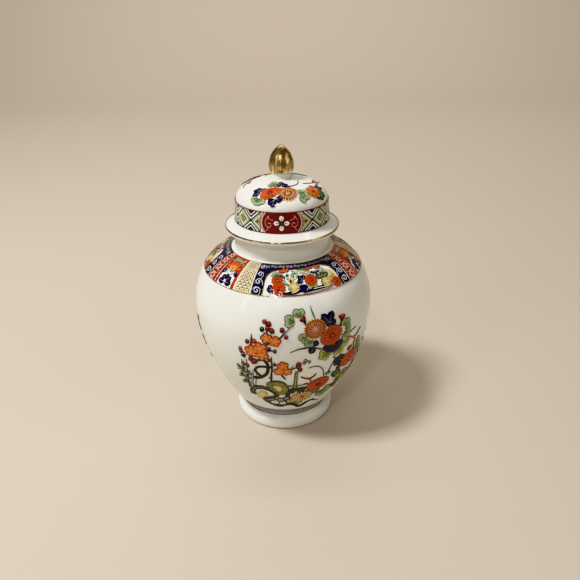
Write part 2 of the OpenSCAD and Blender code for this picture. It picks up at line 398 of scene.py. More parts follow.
copies = add(wrap, "GeometryNodeInstanceOnPoints", {"Points": seats.outputs[0],
    "Instance": laid.outputs["Geometry"], "Rotation": seat_facing.outputs[0]})
smoothed = add(wrap, "GeometryNodeSetShadeSmooth", {0: copies.outputs["Instances"]})
real = add(wrap, "GeometryNodeRealizeInstances", {"Geometry": smoothed.outputs[0]})
finished = add(wrap, "GeometryNodeSetMaterial", {"Geometry": real.outputs["Geometry"],
                                                 "Material": given.outputs["Material"]})
wrap.links.new(finished.outputs["Geometry"], result.inputs["Geometry"])


def rounded(points, steps=4, loop=False):
    """A smooth run through a few points."""
    if len(points) < 3:
        return list(points)
    count = len(points)
    spans = count if loop else count - 1
    smooth_run = []
    for i in range(spans):
        if loop:
            a, b, c, d = (points[(i + k) % count] for k in (-1, 0, 1, 2))
        else:
            a, b, c, d = (points[min(max(i + k, 0), count - 1)] for k in (-1, 0, 1, 2))
        for j in range(steps):
            t = j / steps
            smooth_run.append(tuple(
                0.5 * (2 * b[n] + t * (c[n] - a[n]) + t * t * (2 * a[n] - 5 * b[n] + 4 * c[n] - d[n])
                       + t ** 3 * (3 * b[n] - a[n] - 3 * c[n] + d[n])) for n in range(len(b))))
    if not loop:
        smooth_run.append(tuple(points[-1]))
    return smooth_run


class Painting:
    """The strokes painted on one skin, kept apart by colour. Turns are in degrees and counted to the
    right from the front, lengths are in millimetres, and coat is how many coats lie underneath."""

    def __init__(self, skin):
        self.skin = skin
        self.colours = {}
        self.strokes = 0

    def lay(self, colour, rows, coat, ring=False, middle=None):
        """One stroke, as rows of (turn in radians, run, crown, wash). A ring closes each row on itself,
        and a middle closes the last row with one point."""
        points, faces, washes = self.colours.setdefault(colour, ([], [], []))
        self.strokes += 1
        base = ENAMEL_RISE + COAT_RISE * coat + STROKE_RISE * (self.strokes % STROKE_LEVELS)
        first, width = len(points), len(rows[0])
        for row in rows:
            for turn, run, crown, wash in row:
                points.append((turn, run * MM, (base + crown) * MM))
                washes.append(wash)
        drawn = []
        for i in range(len(rows) - 1):
            for j in range(width if ring else width - 1):
                k = (j + 1) % width
                drawn.append([first + i * width + j, first + i * width + k,
                              first + (i + 1) * width + k, first + (i + 1) * width + j])
        if middle:
            turn, run, crown, wash = middle
            points.append((turn, run * MM, (base + crown) * MM))
            washes.append(wash)
            inner = first + (len(rows) - 1) * width
            drawn += [[inner + j, inner + (j + 1) % width, len(points) - 1] for j in range(width)]
        girth = self.skin.girth(rows[0][0][1]) * MM
        facing = 0.0
        for face in drawn:
            flat_face = [(points[i][0] * girth, points[i][1]) for i in face]
            facing += sum(a[0] * b[1] - b[0] * a[1] for a, b in zip(flat_face, flat_face[1:] + flat_face[:1]))
        faces += drawn if facing > 0 else [face[::-1] for face in drawn]

    def line(self, colour, spots, width, coat=2, taper=(1.0, 1.0), steps=4):
        """A brush line through (turn, height) spots. The taper is its width at each end, as a share."""
        self.ribbon(colour, [(math.radians(turn), self.skin.run(height)) for turn, height in spots],
                    width, coat, taper, steps)

    def ribbon(self, colour, path, width, coat, taper, steps=4):
        """A raised line along (turn in radians, run) places."""
        path = rounded(path, steps)
        rows = []
        for i, (turn, run) in enumerate(path):
            girth = self.skin.girth(run)
            behind, ahead = path[max(i - 1, 0)], path[min(i + 1, len(path) - 1)]
            across, up = (ahead[0] - behind[0]) * girth, ahead[1] - behind[1]
            length = math.hypot(across, up) or 1.0
            share = i / (len(path) - 1)
            half = width / 2 * (taper[0] * (1 - share) + taper[1] * share if taper[0] and taper[1] else
                                max((taper[0] or 1) * min(1, (1 - share) * 2.2) if not taper[1] else
                                    (taper[1] or 1) * min(1, share * 2.2), 0.06))
            rows.append([(turn - side * half * up / length / girth, run + side * half * across / length,
                          CROWN * (1 - side * side), abs(side)) for side in (-1, 0, 1)])
        self.lay(colour, rows, coat)

    def field(self, colour, left, right, low, high, coat=0, columns=12, lines=4):
        """A flat wash from one turn to another, between a low and a high run, each of which is a number
        or a rule that gives the run at a share of the way across."""
        rows = []
        for i in range(columns + 1):
            share = i / columns
            foot = low(share) if callable(low) else low
            head = high(share) if callable(high) else high
            turn = math.radians(left + share * (right - left))
            rows.append([(turn, foot + (head - foot) * j / lines, 0, (i % 2 + j % 2) / 2)
                         for j in range(lines + 1)])
        self.lay(colour, rows, coat)


class Brush:
    """A brush held at one spot of a painting: it draws in millimetres to the right and up from there."""

    def __init__(self, painting, turn, height, lean=0.0, size=1.0, flip=False):
        self.painting = painting
        self.turn = math.radians(turn)
        self.start = painting.skin.run(height)
        self.lean = math.radians(lean)
        self.size = size
        self.flip = -1 if flip else 1

    def spot(self, right, up):
        """The (turn in radians, run) place of a point of the drawing."""
        right *= self.flip
        across = self.size * (right * math.cos(self.lean) - up * math.sin(self.lean))
        climb = self.size * (right * math.sin(self.lean) + up * math.cos(self.lean))
        run = self.start + climb
        return self.turn + across / self.painting.skin.girth(run), run

    def line(self, colour, points, width, coat=2, taper=(1.0, 1.0), steps=4):
        """A brush line through points of the drawing."""
        self.painting.ribbon(colour, [self.spot(*p) for p in points], width * self.size, coat, taper, steps)

    def petal(self, colour, root, way, length, width, coat=1, belly=1.4, blunt=0.8, rows=6):
        """A petal or a leaf: from its root, along a way in degrees from straight up, clockwise."""
        way = math.radians(way)
        drawn = []
        for i in range(rows + 1):
            share = i / rows
            half = max(width / 2 * math.sin(math.pi * share ** belly) ** blunt, 0.05)
            row = []
            for side in (-1, -0.5, 0, 0.5, 1):
                forward = length * share
                right = root[0] + forward * math.sin(way) + side * half * math.cos(way)
                up = root[1] + forward * math.cos(way) - side * half * math.sin(way)
                row.append(self.spot(right, up) + (CROWN * (1 - side * side), 1 - share))
            drawn.append(row)
        self.painting.lay(colour, drawn, coat)

    def dot(self, colour, centre, radius, coat=1, squash=1.0, sides=14, rings=3, wave=0.0, waves=5):
        """A round or oval dab, with a scalloped edge if it has a wave."""
        rows = []
        for ring in range(rings):
            share = 1 - ring / rings
            row = []
            for i in range(sides):
                angle = 2 * math.pi * i / sides
                reach = radius * share * (1 + wave * math.cos(waves * angle) * share)
                x, y = reach * math.cos(angle), reach * squash * math.sin(angle)
                row.append(self.spot(centre[0] + x, centre[1] + y) + (CROWN * (1 - share * share), share))
            rows.append(row)
        self.painting.lay(colour, rows, coat, ring=True, middle=self.spot(*centre) + (CROWN, 0.0))

    def patch(self, colour, points, coat=0, steps=5):
        """A filled shape with a smooth edge through a few points."""
        edge = rounded(points, steps, loop=True)
        middle = tuple(sum(p[n] for p in edge) / len(edge) for n in (0, 1))
        rows = []
        for share in (1, 0.75, 0.5, 0.25):
            rows.append([self.spot(middle[0] + share * (x - middle[0]), middle[1] + share * (y - middle[1]))
                         + (CROWN * (1 - share), share) for x, y in edge])
        self.painting.lay(colour, rows, coat, ring=True, middle=self.spot(*middle) + (CROWN, 0.0))


def enamel(name, thin, thick, gloss=0.16):
    """Lead-glass enamel with metal oxides, brushed on the fired glaze and fired again: glossy, thinner
    and lighter where the brush was dry, darker where the colour pooled, with fine brush streaks."""
    material, tree, surface = new_material(name)
    where = add(tree, "ShaderNodeTexCoord").outputs["Object"]
    wash = add(tree, "ShaderNodeAttribute", attribute_name="wash")
    pooled = add(tree, "ShaderNodeTexNoise", {"Vector": where, "Scale": 260.0, "Detail": 4.0,
        "Roughness": 0.6})
    even = add(tree, "ShaderNodeMath", {0: pooled.outputs["Fac"], 1: wash.outputs["Fac"]}, operation="ADD")
    depth = add(tree, "ShaderNodeMapRange", {"Value": even.outputs[0], "From Min": 0.35, "From Max": 1.35})
    tint = add(tree, "ShaderNodeMix", {"Factor": depth.outputs[0], 6: linear(thin), 7: linear(thick)},
               data_type="RGBA")
    lumps = add(tree, "ShaderNodeBump", {"Height": pooled.outputs["Fac"], "Strength": 0.25,
        "Distance": 0.0003})
    tree.links.new(tint.outputs[2], surface.inputs["Base Color"])
    tree.links.new(lumps.outputs[0], surface.inputs["Normal"])
    surface.inputs["Roughness"].default_value = gloss
    surface.inputs["IOR"].default_value = 1.5
    return material


def gold_lustre():
    """Bright gold: a resin of gold salts brushed on and fired to a film of metal, which mirrors the glaze
    under it, with brush streaks that run up the piece and thin brown patches where it was dry."""
    material, tree, surface = new_material("gold_lustre")
    where = add(tree, "ShaderNodeTexCoord").outputs["Object"]
    upright = add(tree, "ShaderNodeMapping", {"Vector": where, "Scale": (700.0, 700.0, 45.0)})
    brushed = add(tree, "ShaderNodeTexNoise", {"Vector": upright.outputs[0], "Scale": 1.0, "Detail": 3.0})
    dry = add(tree, "ShaderNodeTexNoise", {"Vector": where, "Scale": 240.0, "Detail": 3.0})
    film = add(tree, "ShaderNodeMath", {0: brushed.outputs["Fac"], 1: dry.outputs["Fac"]},
        operation="MULTIPLY")
    deep = add(tree, "ShaderNodeMapRange", {"Value": film.outputs[0], "From Min": 0.16, "From Max": 0.36})
    tint = add(tree, "ShaderNodeMix", {"Factor": deep.outputs[0], 6: linear("#8c6a3a"), 7: linear("#efd5a8")},
               data_type="RGBA")
    dull = add(tree, "ShaderNodeMapRange", {"Value": film.outputs[0], "From Min": 0.1, "From Max": 0.5,
                                            "To Min": 0.34, "To Max": 0.16})
    streaks = add(tree, "ShaderNodeBump", {"Height": brushed.outputs["Fac"], "Strength": 0.2,
        "Distance": 0.0003})
    tree.links.new(tint.outputs[2], surface.inputs["Base Color"])
    tree.links.new(dull.outputs[0], surface.inputs["Roughness"])
    tree.links.new(streaks.outputs[0], surface.inputs["Normal"])
    surface.inputs["Metallic"].default_value = 1.0
    return material


palette = {
    "cobalt_blue": enamel("cobalt_blue", "#25284d", "#0d0f27", 0.1),
    "iron_red": enamel("iron_red", "#e2652e", "#8e200b"),
    "deep_red": enamel("deep_red", "#87131a", "#5a0810"),
    "rust_enamel": enamel("rust_enamel", "#b0542e", "#742a17"),
    "coral_enamel": enamel("coral_enamel", "#eaa058", "#c9582a"),
    "leaf_green": enamel("leaf_green", "#b9c49f", "#7c8c62"),
    "dark_green": enamel("dark_green", "#4d5a36", "#242d1a"),
    "moss_yellow": enamel("moss_yellow", "#c9cc8c", "#84873f"),
    "sun_yellow": enamel("sun_yellow", "#e9dea6", "#c9ad66"),
    "aubergine": enamel("aubergine", "#30243f", "#150e1c"),
    "outline_black": enamel("outline_black", "#1d1411", "#0c0706"),
    "pink_line": enamel("pink_line", "#efc4b8", "#cf8479"),
    "grey_scroll": enamel("grey_scroll", "#bdb7ba", "#9a949a"),
    "white_enamel": enamel("white_enamel", "#f2f0e8", "#e2dfd3", 0.12),
    "gold_lustre": gold_lustre(),
}


def lay_painting(name, painting, copies, body):
    """Lays each colour of a painting on its skin, as one piece that rides with the body."""
    for colour, (points, faces, washes) in sorted(painting.colours.items()):
        drawn = bpy.data.meshes.new(name)
        drawn.from_pydata(points, [], faces)
        drawn.attributes.new("wash", "FLOAT", "POINT").data.foreach_set("value", washes)
        piece = made_by(name + "_" + colour, wrap, drawn, Skin=painting.skin.curve, Copies=copies,
                        Thickness=ENAMEL_THICKNESS * MM, Material=palette[colour])
        piece.data.set_sharp_from_angle(angle=SHARP_EDGE)
        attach(piece, body)


jar_skin = Skin("jar_skin", jar_outside)
waist = Painting(jar_skin)
waist_step = 360 / WAIST_REPEATS
waist_foot, waist_head = jar_skin.run(WAIST_LOW), jar_skin.run(WAIST_HIGH)
waist.field("grey_scroll", 0, waist_step, waist_foot, waist_head, coat=0, columns=6, lines=6)
waist.field("outline_black", 0, waist_step, waist_foot - 0.3, waist_foot + 0.1, coat=2, columns=6, lines=1)
waist.field("outline_black", 0, waist_step, waist_head - 0.1, waist_head + 0.15, coat=2, columns=6, lines=1)
for share, colour, height in ((0.25, "aubergine", 14.7), (0.75, "dark_green", 14.2)):
    scroll = Brush(waist, waist_step * share, height)
    scroll.line(colour, [(-1.2, -1.7), (-1.3, 0.2), (-0.2, 1.3), (0.9, 0.5), (0.5, -0.5), (-0.2, -0.1)], 0.17,
                coat=1, steps=3)
    scroll.line("pink_line" if share < 0.5 else "moss_yellow", [(0.9, -1.9), (1.3, -0.6), (1.5, 1.4)], 0.26,
                coat=1, steps=2)
lay_painting("waist_band", waist, WAIST_REPEATS, "jar")

# The shoulder band: a printed border from the shoulder's turn up to the neck, in three equal lengths.
# Each has a wide cobalt panel with a garden in its reserve, a stripe of rosettes, a narrow panel of
# flowers and a stripe of pale diaper, parted by bare white lines.
BAND_FOOT, BAND_HEAD = jar_skin.run(135.0), jar_skin.run(149.3)
BAND_RISE = BAND_HEAD - BAND_FOOT
SHOULDER_REPEATS = 3
PANEL = (-21.5, 53.5)
RESERVE = (-14.0, 46.0)
ROSETTES = (55.2, 64.0)
NARROW = (65.6, 84.2)
DIAPER = (86.0, 97.2)
shoulder = Painting(jar_skin)


def up_band(share):
    """The height at a share of the way up the band."""
    run = BAND_FOOT + share * BAND_RISE
    return jar_skin.between(run, jar_skin.runs, [z for _, z in jar_skin.points])


def arch(share):
    """The reserve's upper edge: nearly level, with round shoulders."""
    return BAND_FOOT + BAND_RISE * 0.80 * (1 - abs(2 * share - 1) ** 7) ** (1 / 3.2)


def flower_head(brush, radius, petal_colour, rim_colour, heart_colour, petals=18, squash=1.0, coat=1,
        gap=0.36, open_ring=0.0):
    """A chrysanthemum from above: two rings of petals, dark between them, round a small dark heart. The
    gap is the dark share of the ring, and an open ring leaves that share of it bare."""
    for layer, (inner, outer, count) in enumerate(((0.28, 1.0, petals), (0.1, 0.64, round(petals * 0.72)))):
        for i in range(count):
            way = 360 * (i + 0.5 * layer) / count
            across, climb = math.sin(math.radians(way)), math.cos(math.radians(way)) * squash
            length = radius * (outer - inner) * math.hypot(across, climb)
            tilt = math.degrees(math.atan2(across, climb))
            pitch = 2 * math.pi * radius * (0.25 * inner + 0.75 * outer) / count
            root = (radius * inner * across, radius * inner * climb)
            brush.petal(rim_colour, root, tilt, length * 1.03, pitch * (1.06 - open_ring),
                coat=coat + 2 * layer, belly=1.8, rows=4)
            brush.petal(petal_colour, root, tilt, length * 0.97, pitch * (1 - gap - open_ring),
                        coat=coat + 1 + 2 * layer, belly=1.9, rows=4)
    brush.dot(rim_colour, (0, 0), radius * 0.17, coat=coat + 4, squash=squash, sides=10, rings=2)
    brush.dot(heart_colour, (0, 0), radius * 0.09, coat=coat + 5, squash=squash, sides=8, rings=2)


def leaf_spray(brush, leaves, fill_colour, rim_colour, vein_colour, coat=0, rim=0.5):
    """A group of leaves from (root right, root up, way, length, width). A rim over 0.2 adds an edge and
    side veins, and a leaf without one has only its middle rib."""
    for right, up, way, length, width in leaves:
        if rim > 0.2:
            brush.petal(rim_colour, (right, up), way, length + rim, width + 2 * rim, coat=coat, belly=1.1,
                blunt=0.6)
        brush.petal(fill_colour, (right, up), way, length, width, coat=coat + 1, belly=1.1, blunt=0.6)
        reach, side = 0.8 * length, math.radians(way)
        rib = [(right + reach * share * math.sin(side), up + reach * share * math.cos(side))
               for share in (0.08, 0.5, 1)]
        brush.line(vein_colour, rib, 0.5 if rim > 0.2 else 0.2, coat=coat + 2, taper=(1.0, 0.4), steps=2)
        if rim > 0.2 and length > 3.5:
            foot = (right + length * 0.35 * math.sin(side), up + length * 0.35 * math.cos(side))
            for turn_out in (-50, 50):
                branch = math.radians(way + turn_out)
                brush.line(vein_colour, [foot, (foot[0] + 0.36 * width * math.sin(branch),
                                                foot[1] + 0.36 * width * math.cos(branch))],
                           0.34, coat=coat + 2, taper=(1.0, 0.5), steps=1)


def scroll(brush, radius, colour, coils=1.35, width=0.42):
    """One scroll of the cobalt border: a coil with a tail."""
    points = []
    for i in range(11):
        share = i / 10
        angle = 2 * math.pi * coils * share
        reach = radius * (1 - 0.86 * share)
        points.append((reach * math.cos(angle), reach * math.sin(angle)))
    brush.line(colour, [(radius * 1.05, -radius * 1.3), (radius * 1.15, -radius * 0.5)] + points, width,
               coat=2, taper=(0.5, 1.0), steps=2)


# what a leaf is painted in: its fill, its edge and its veins
GREEN_LEAF = ("leaf_green", "dark_green", "dark_green")
MOSS_LEAF = ("moss_yellow", "dark_green", "dark_green")
COBALT_LEAF = ("cobalt_blue", "cobalt_blue", "grey_scroll")
DARK_LEAF = ("dark_green", "outline_black", "leaf_green")

# cobalt border of the wide panel
shoulder.field("cobalt_blue", PANEL[0], RESERVE[0], BAND_FOOT, BAND_HEAD, columns=6, lines=12)
shoulder.field("cobalt_blue", RESERVE[1], PANEL[1], BAND_FOOT, BAND_HEAD, columns=6, lines=12)
shoulder.field("cobalt_blue", RESERVE[0], RESERVE[1], arch, BAND_HEAD, columns=60, lines=3)
for side, turn in ((1, (PANEL[0] + RESERVE[0]) / 2), (-1, (PANEL[1] + RESERVE[1]) / 2)):
    for level, share in enumerate((0.12, 0.37, 0.60, 0.86)):
        coil = Brush(shoulder, turn, up_band(share), lean=side * (15 if level % 2 else -25), flip=side < 0)
        scroll(coil, 2.8 - 0.3 * level, "white_enamel", width=0.6 - 0.09 * level)
        coil.line("white_enamel", [(-3.0 + 0.4 * level, -1.4), (-2.7 + 0.4 * level, 0.6),
            (-1.6, 2.1 - 0.2 * level)], 0.42, coat=1, taper=(0.4, 0.4), steps=2)
for i in range(17):
    turn = RESERVE[0] + 1 + i * (RESERVE[1] - RESERVE[0] - 2) / 16
    coil = Brush(shoulder, turn, up_band(0.90), lean=20 if i % 2 else -160)
    scroll(coil, 1.25, "grey_scroll", coils=1.2, width=0.32)
for side, turn in ((1, RESERVE[0]), (-1, RESERVE[1])):
    shoulder.line("gold_lustre", [(turn + side * 0.6, up_band(0.02)), (turn + side * 0.8, up_band(0.4)),
                                  (turn + side * 1.2, up_band(0.66))], 0.35, coat=2)
edge = [(math.radians(RESERVE[0] + share * (RESERVE[1] - RESERVE[0])), arch(share) - 0.3)
        for share in [0.012 + 0.976 * (0.5 - 0.5 * math.cos(math.pi * i / 26)) for i in range(27)]]
shoulder.ribbon("gold_lustre", edge, 0.35, 2, (1.0, 1.0), steps=1)

# the garden in the reserve: flowers over a cobalt stream and rocks
stream = Brush(shoulder, 16, up_band(0.05))
stream.patch("cobalt_blue", [(-17, 0.2), (-12, 1.6), (-7.6, 2.4), (-4.0, 5.4), (0.6, 5.9), (3.4, 3.4),
    (8, 3.2), (14, 2.9), (22, 1.2), (15, 0.7), (8, 0.6), (3.5, 0.3), (-1, -0.2), (-2.6, 1.8), (-6, 0.3),
    (-11, -0.5)], coat=0)
stream.patch("grey_scroll", [(-2.4, 0.2), (3, -0.3), (10, 0.2), (18, 0.9), (10, -0.5), (2, -0.9)], coat=0)
for points in ([(-10, 0.6), (-6.5, 1.4), (-3.6, 3.6)], [(1.0, 1.4), (2.4, 3.4), (3.6, 4.2)],
        [(6, 1.8), (11, 1.9), (17, 1.5)]):
    stream.line("white_enamel", points, 0.5, coat=2, taper=(0.4, 0.4), steps=3)
stream.line("rust_enamel", [(-17, -0.9), (-6, -1.0), (4, -1.1), (14, -0.7), (22, 0.2)], 0.5, coat=1,
    taper=(0.3, 0.3))


def reserve(turn, share, **held):
    """A brush inside the wide panel."""
    return Brush(shoulder, turn, up_band(share), size=1.2, **held)


leaf_spray(reserve(-4.2, 0.58), [(0, -0.6, way, 3.6, 1.5) for way in (-75, -45, -15, 15, 45, 75)],
    *GREEN_LEAF, rim=0.3)
flower_head(reserve(-3.8, 0.44), 3.6, "iron_red", "rust_enamel", "pink_line", petals=13, gap=0.62,
    open_ring=0.1)
leaf_spray(reserve(-8.6, 0.19), [(1.4, 0, -50, 3.2, 3.0), (1.4, 0, -105, 3.4, 3.2), (1.4, 0, -155, 3.0, 2.8)],
           *COBALT_LEAF, coat=2, rim=0.1)
flower_head(reserve(-2.4, 0.20), 4.1, "iron_red", "deep_red", "coral_enamel", petals=15, coat=3, gap=0.3)
bud = reserve(2.4, 0.70)
leaf_spray(bud, [(0, 0, -70, 3.4, 2.0), (0, 0, -25, 2.8, 1.8), (0, 0, 35, 3.2, 2.0)], "iron_red", "deep_red",
           "coral_enamel", coat=2, rim=0.25)
leaf_spray(reserve(0.6, 0.57), [(0, 0, -80, 1.9, 1.5), (1.4, 0, 60, 2.2, 1.6), (0.6, 0, 180, 1.6, 1.4)],
    *COBALT_LEAF, coat=2, rim=0.1)
striped = reserve(6.2, 0.42, lean=8)
for i in range(6):
    striped.petal("dark_green", (0, -3.6), -50 + 20 * i, 6.6, 2.1, coat=0)
    striped.petal("white_enamel" if i % 2 else "leaf_green", (0, -3.4), -50 + 20 * i, 6.0, 1.4, coat=1)
striped.petal("sun_yellow", (0, -2.6), 2, 4.4, 2.3, coat=2)
striped.petal("deep_red", (0, -2.2), 2, 3.4, 1.5, coat=3)
for i in range(5):
    blade = reserve(9.4 + 0.5 * i, 0.70 - 0.035 * i, lean=-40)
    blade.petal("leaf_green" if i % 2 else "white_enamel", (-1.6, 0), 62, 4.4, 1.0, coat=2, rows=4)
    blade.line("dark_green", [(-1.6, 0.5), (2.2, 0.6)], 0.25, coat=3, steps=1)
for turn, share in ((8.4, 0.24), (33.2, 0.235)):
    fan = reserve(turn, share)
    fan.dot("dark_green", (0, -0.2), 3.35, coat=1, sides=27, wave=0.07, waves=9)
    fan.dot("sun_yellow", (0, -0.2), 3.0, coat=2, sides=27, wave=0.08, waves=9)
    for i in range(7):
        way = math.radians(-84 + 28 * i)
        fan.line("leaf_green" if i % 2 else "dark_green", [(0.7 * math.sin(way),
            -1.4 + 0.7 * math.cos(way)), (3.6 * math.sin(way), -1.4 + 3.4 * math.cos(way))], 0.32, coat=3,
            taper=(0.5, 1.0), steps=1)
vine = reserve(15.4, 0.60)
for reach, colour, width in ((5.4, "dark_green", 2.3), (5.4, "leaf_green", 1.7), (4.0, "white_enamel", 0.9),
                             (3.1, "moss_yellow", 1.1)):
    vine.line(colour, [(-reach, -3.0), (-reach * 0.86, 0.2), (0, reach * 0.44), (reach * 0.9, 0.4),
        (reach * 1.3, -2.0)], width, coat=1 if reach < 5 or colour == "leaf_green" else 0, steps=4)
for i in range(9):
    angle = math.radians(-170 + 20 * i)
    vine.line("dark_green", [(4.4 * math.cos(angle) * 0.95, -2 - 3.5 * math.sin(angle)),
        (5.7 * math.cos(angle) * 0.98, -2 - 4.6 * math.sin(angle))], 0.32, coat=3, steps=1)
leaf_spray(reserve(15.0, 0.42), [(0.6, -0.6, -100, 3.6, 2.8), (0.6, 0, -48, 3.6, 2.8),
    (1.0, 0.2, 12, 3.4, 2.6)], *COBALT_LEAF, coat=2, rim=0.1)
leaf_spray(reserve(21.6, 0.22), [(0, 1, 130, 3.6, 2.4), (0, 1, 220, 3.6, 2.4)], *MOSS_LEAF,
           coat=1, rim=0.3)
flower_head(reserve(21.8, 0.375), 4.0, "iron_red", "deep_red", "coral_enamel", petals=15, coat=3, gap=0.3)
leaf_spray(reserve(28.4, 0.71), [(-2.0, 0.4, -82, 4.0, 1.8), (-1, 0.2, -20, 1.8, 1.8),
    (0, 0.4, 84, 4.6, 2.0)], "rust_enamel", "deep_red", "coral_enamel", coat=1, rim=0.25)
leaf_spray(reserve(27.6, 0.60), [(0, 0.4, 100, 3.4, 2.0), (0, 0.4, -100, 3.0, 1.8), (0, 0.3, 170, 2.2, 1.8)],
           *COBALT_LEAF, coat=2, rim=0.1)
leaf_spray(reserve(33.6, 0.49), [(0, -2, 8, 6.2, 3.6), (0, -2, 50, 5.0, 3.0), (0, -2, -35, 5.0, 3.0)],
    *GREEN_LEAF, rim=0.4)
leaf_spray(reserve(32.0, 0.41), [(0, 0, 80, 4.6, 2.4), (0, 0, -80, 4.4, 2.4), (0, 0, 10, 2.6, 1.8)],
    *DARK_LEAF, coat=2, rim=0.3)
leaf_spray(reserve(40.6, 0.34), [(1, -3, -12, 8.6, 4.4), (0, -2, -50, 5.0, 2.8)], "sun_yellow",
    "white_enamel", "rust_enamel", coat=0, rim=0.5)
flower_head(reserve(41.4, 0.135), 3.3, "iron_red", "deep_red", "rust_enamel", petals=13, coat=3, gap=0.3)

# the stripe of rosettes: rust ground, a chain of pink flowers in diamonds
middle = (ROSETTES[0] + ROSETTES[1]) / 2
shoulder.field("rust_enamel", ROSETTES[0], ROSETTES[1], BAND_FOOT, BAND_HEAD, columns=6, lines=12)
for turn in ROSETTES:
    shoulder.line("deep_red", [(turn, up_band(k / 6)) for k in range(7)], 0.6, coat=1, steps=1)
share = 0.115
while share < 0.96:
    rosette = Brush(shoulder, middle, up_band(share))
    size = jar_skin.girth(BAND_FOOT + share * BAND_RISE) * math.radians(ROSETTES[1] - ROSETTES[0]) / 2
    for sign in (-1, 1):
        rosette.line("pink_line", [(-0.92 * size, sign * 0.8 * size), (0, 0),
            (0.92 * size, -sign * 0.8 * size)], 0.55, coat=2, steps=1)
    rosette.dot("deep_red", (0, 0), size * 0.78, coat=3, sides=30, wave=0.1, waves=6)
    for i in range(6):
        rosette.petal("pink_line", (0, 0), 60 * i + 30, size * 0.8, size * 0.52, coat=4, rows=4)
        rosette.petal("iron_red", (0, 0), 60 * i + 30, size * 0.5, size * 0.16, coat=5, rows=3)
    rosette.dot("deep_red", (0, 0), size * 0.16, coat=6, sides=8, rings=1)
    share += 1.66 * size / BAND_RISE

# the narrow panel: red border, an orange flower at the top and a cobalt one at the foot
for left, right in ((NARROW[0], NARROW[0] + 2.0), (NARROW[1] - 2.2, NARROW[1])):
    shoulder.field("iron_red", left, right, BAND_FOOT, BAND_HEAD, columns=3, lines=12)
    shoulder.line("deep_red", [((left + right) / 2, up_band(k / 6)) for k in range(7)], 0.4, coat=1, steps=1)
shoulder.field("iron_red", NARROW[0] + 2.0, NARROW[1] - 2.2, BAND_FOOT + 0.93 * BAND_RISE, BAND_HEAD,
    columns=10, lines=2)
centre = (NARROW[0] + NARROW[1]) / 2
leaf_spray(Brush(shoulder, centre, up_band(0.82), size=1.2), [(0, -1, 0, 3.4, 3.0), (0, -1, -60, 4.2, 2.4),
    (0, -1, 60, 4.2, 2.4)], *GREEN_LEAF)
leaf_spray(Brush(shoulder, centre, up_band(0.60), size=1.15), [(0, 0, -90, 6.0, 3.4), (0, 0, 90, 6.0, 3.4),
    (0, 0, -50, 5.2, 3.0), (0, 0, 50, 5.2, 3.0), (0, 0, 0, 4.6, 3.0)], "iron_red", "deep_red",
    "coral_enamel", coat=1)
flower_head(Brush(shoulder, centre, up_band(0.55)), 3.2, "sun_yellow", "rust_enamel", "iron_red", petals=12,
    coat=3, gap=0.5)
for sign in (-1, 1):
    leaf_spray(Brush(shoulder, centre + sign * 5, up_band(0.38), size=1.3), [(0, 0, sign * 80, 2.6, 2.4),
        (0, 0, sign * 20, 2.6, 2.0)], *COBALT_LEAF, coat=1, rim=0.1)
    Brush(shoulder, centre, up_band(0.40)).line(
        "leaf_green", [(0, -1.5), (sign * 3, 0.2), (sign * 5, 2.2)], 0.5, coat=0, taper=(1.0, 0.4))
leaf_spray(Brush(shoulder, centre, up_band(0.12), size=1.25), [(0, 0, way, 5.0, 3.8)
    for way in (-90, -38, 0, 38, 90)], *COBALT_LEAF, coat=1, rim=0.1)
Brush(shoulder, centre, up_band(0.15)).dot("white_enamel", (0, 0), 1.0, coat=4, wave=0.2)

# the pale diaper: cream ground, white scales with gold edges and dark hearts
shoulder.field("sun_yellow", DIAPER[0], DIAPER[1], BAND_FOOT, BAND_HEAD, columns=6, lines=12)
level, share = 0, 0.04
while share < 0.99:
    girth = jar_skin.girth(BAND_FOOT + share * BAND_RISE)
    scale_width = girth * math.radians(DIAPER[1] - DIAPER[0]) / 3
    for i in range(3 if level % 2 == 0 else 2):
        turn = DIAPER[0] + (i + (0.5 if level % 2 == 0 else 1.0)) * (DIAPER[1] - DIAPER[0]) / 3
        scale_brush = Brush(shoulder, turn, up_band(share))
        scale_brush.line("gold_lustre", [(-scale_width / 2, 0), (-scale_width * 0.3, scale_width * 0.42),
                                         (0, scale_width * 0.55), (scale_width * 0.3, scale_width * 0.42),
                                         (scale_width / 2, 0)], 0.3, coat=2, steps=2)
        scale_brush.petal("white_enamel", (0, -0.1), 0, scale_width * 0.46, scale_width * 0.62, coat=1,
            rows=4)
        scale_brush.petal("dark_green", (0, 0.1), 0, scale_width * 0.26, scale_width * 0.2, coat=2, rows=4)
    share += 0.5 * scale_width / BAND_RISE
    level += 1

# fine gold lines that close the band above and below
for run in (BAND_FOOT - 0.25, BAND_HEAD + 0.15):
    shoulder.field("gold_lustre", PANEL[0], PANEL[0] + 120, run - 0.18, run + 0.18, coat=1, columns=60,
        lines=1)
lay_painting("shoulder", shoulder, SHOULDER_REPEATS, "jar")

# The garden scene on the body, painted twice, on the front and on the back: a plum tree on rocks at the
# left, and chrysanthemums, leaves and grasses that climb round to the right.
SCENE_COPIES = 2
scene = Painting(jar_skin)


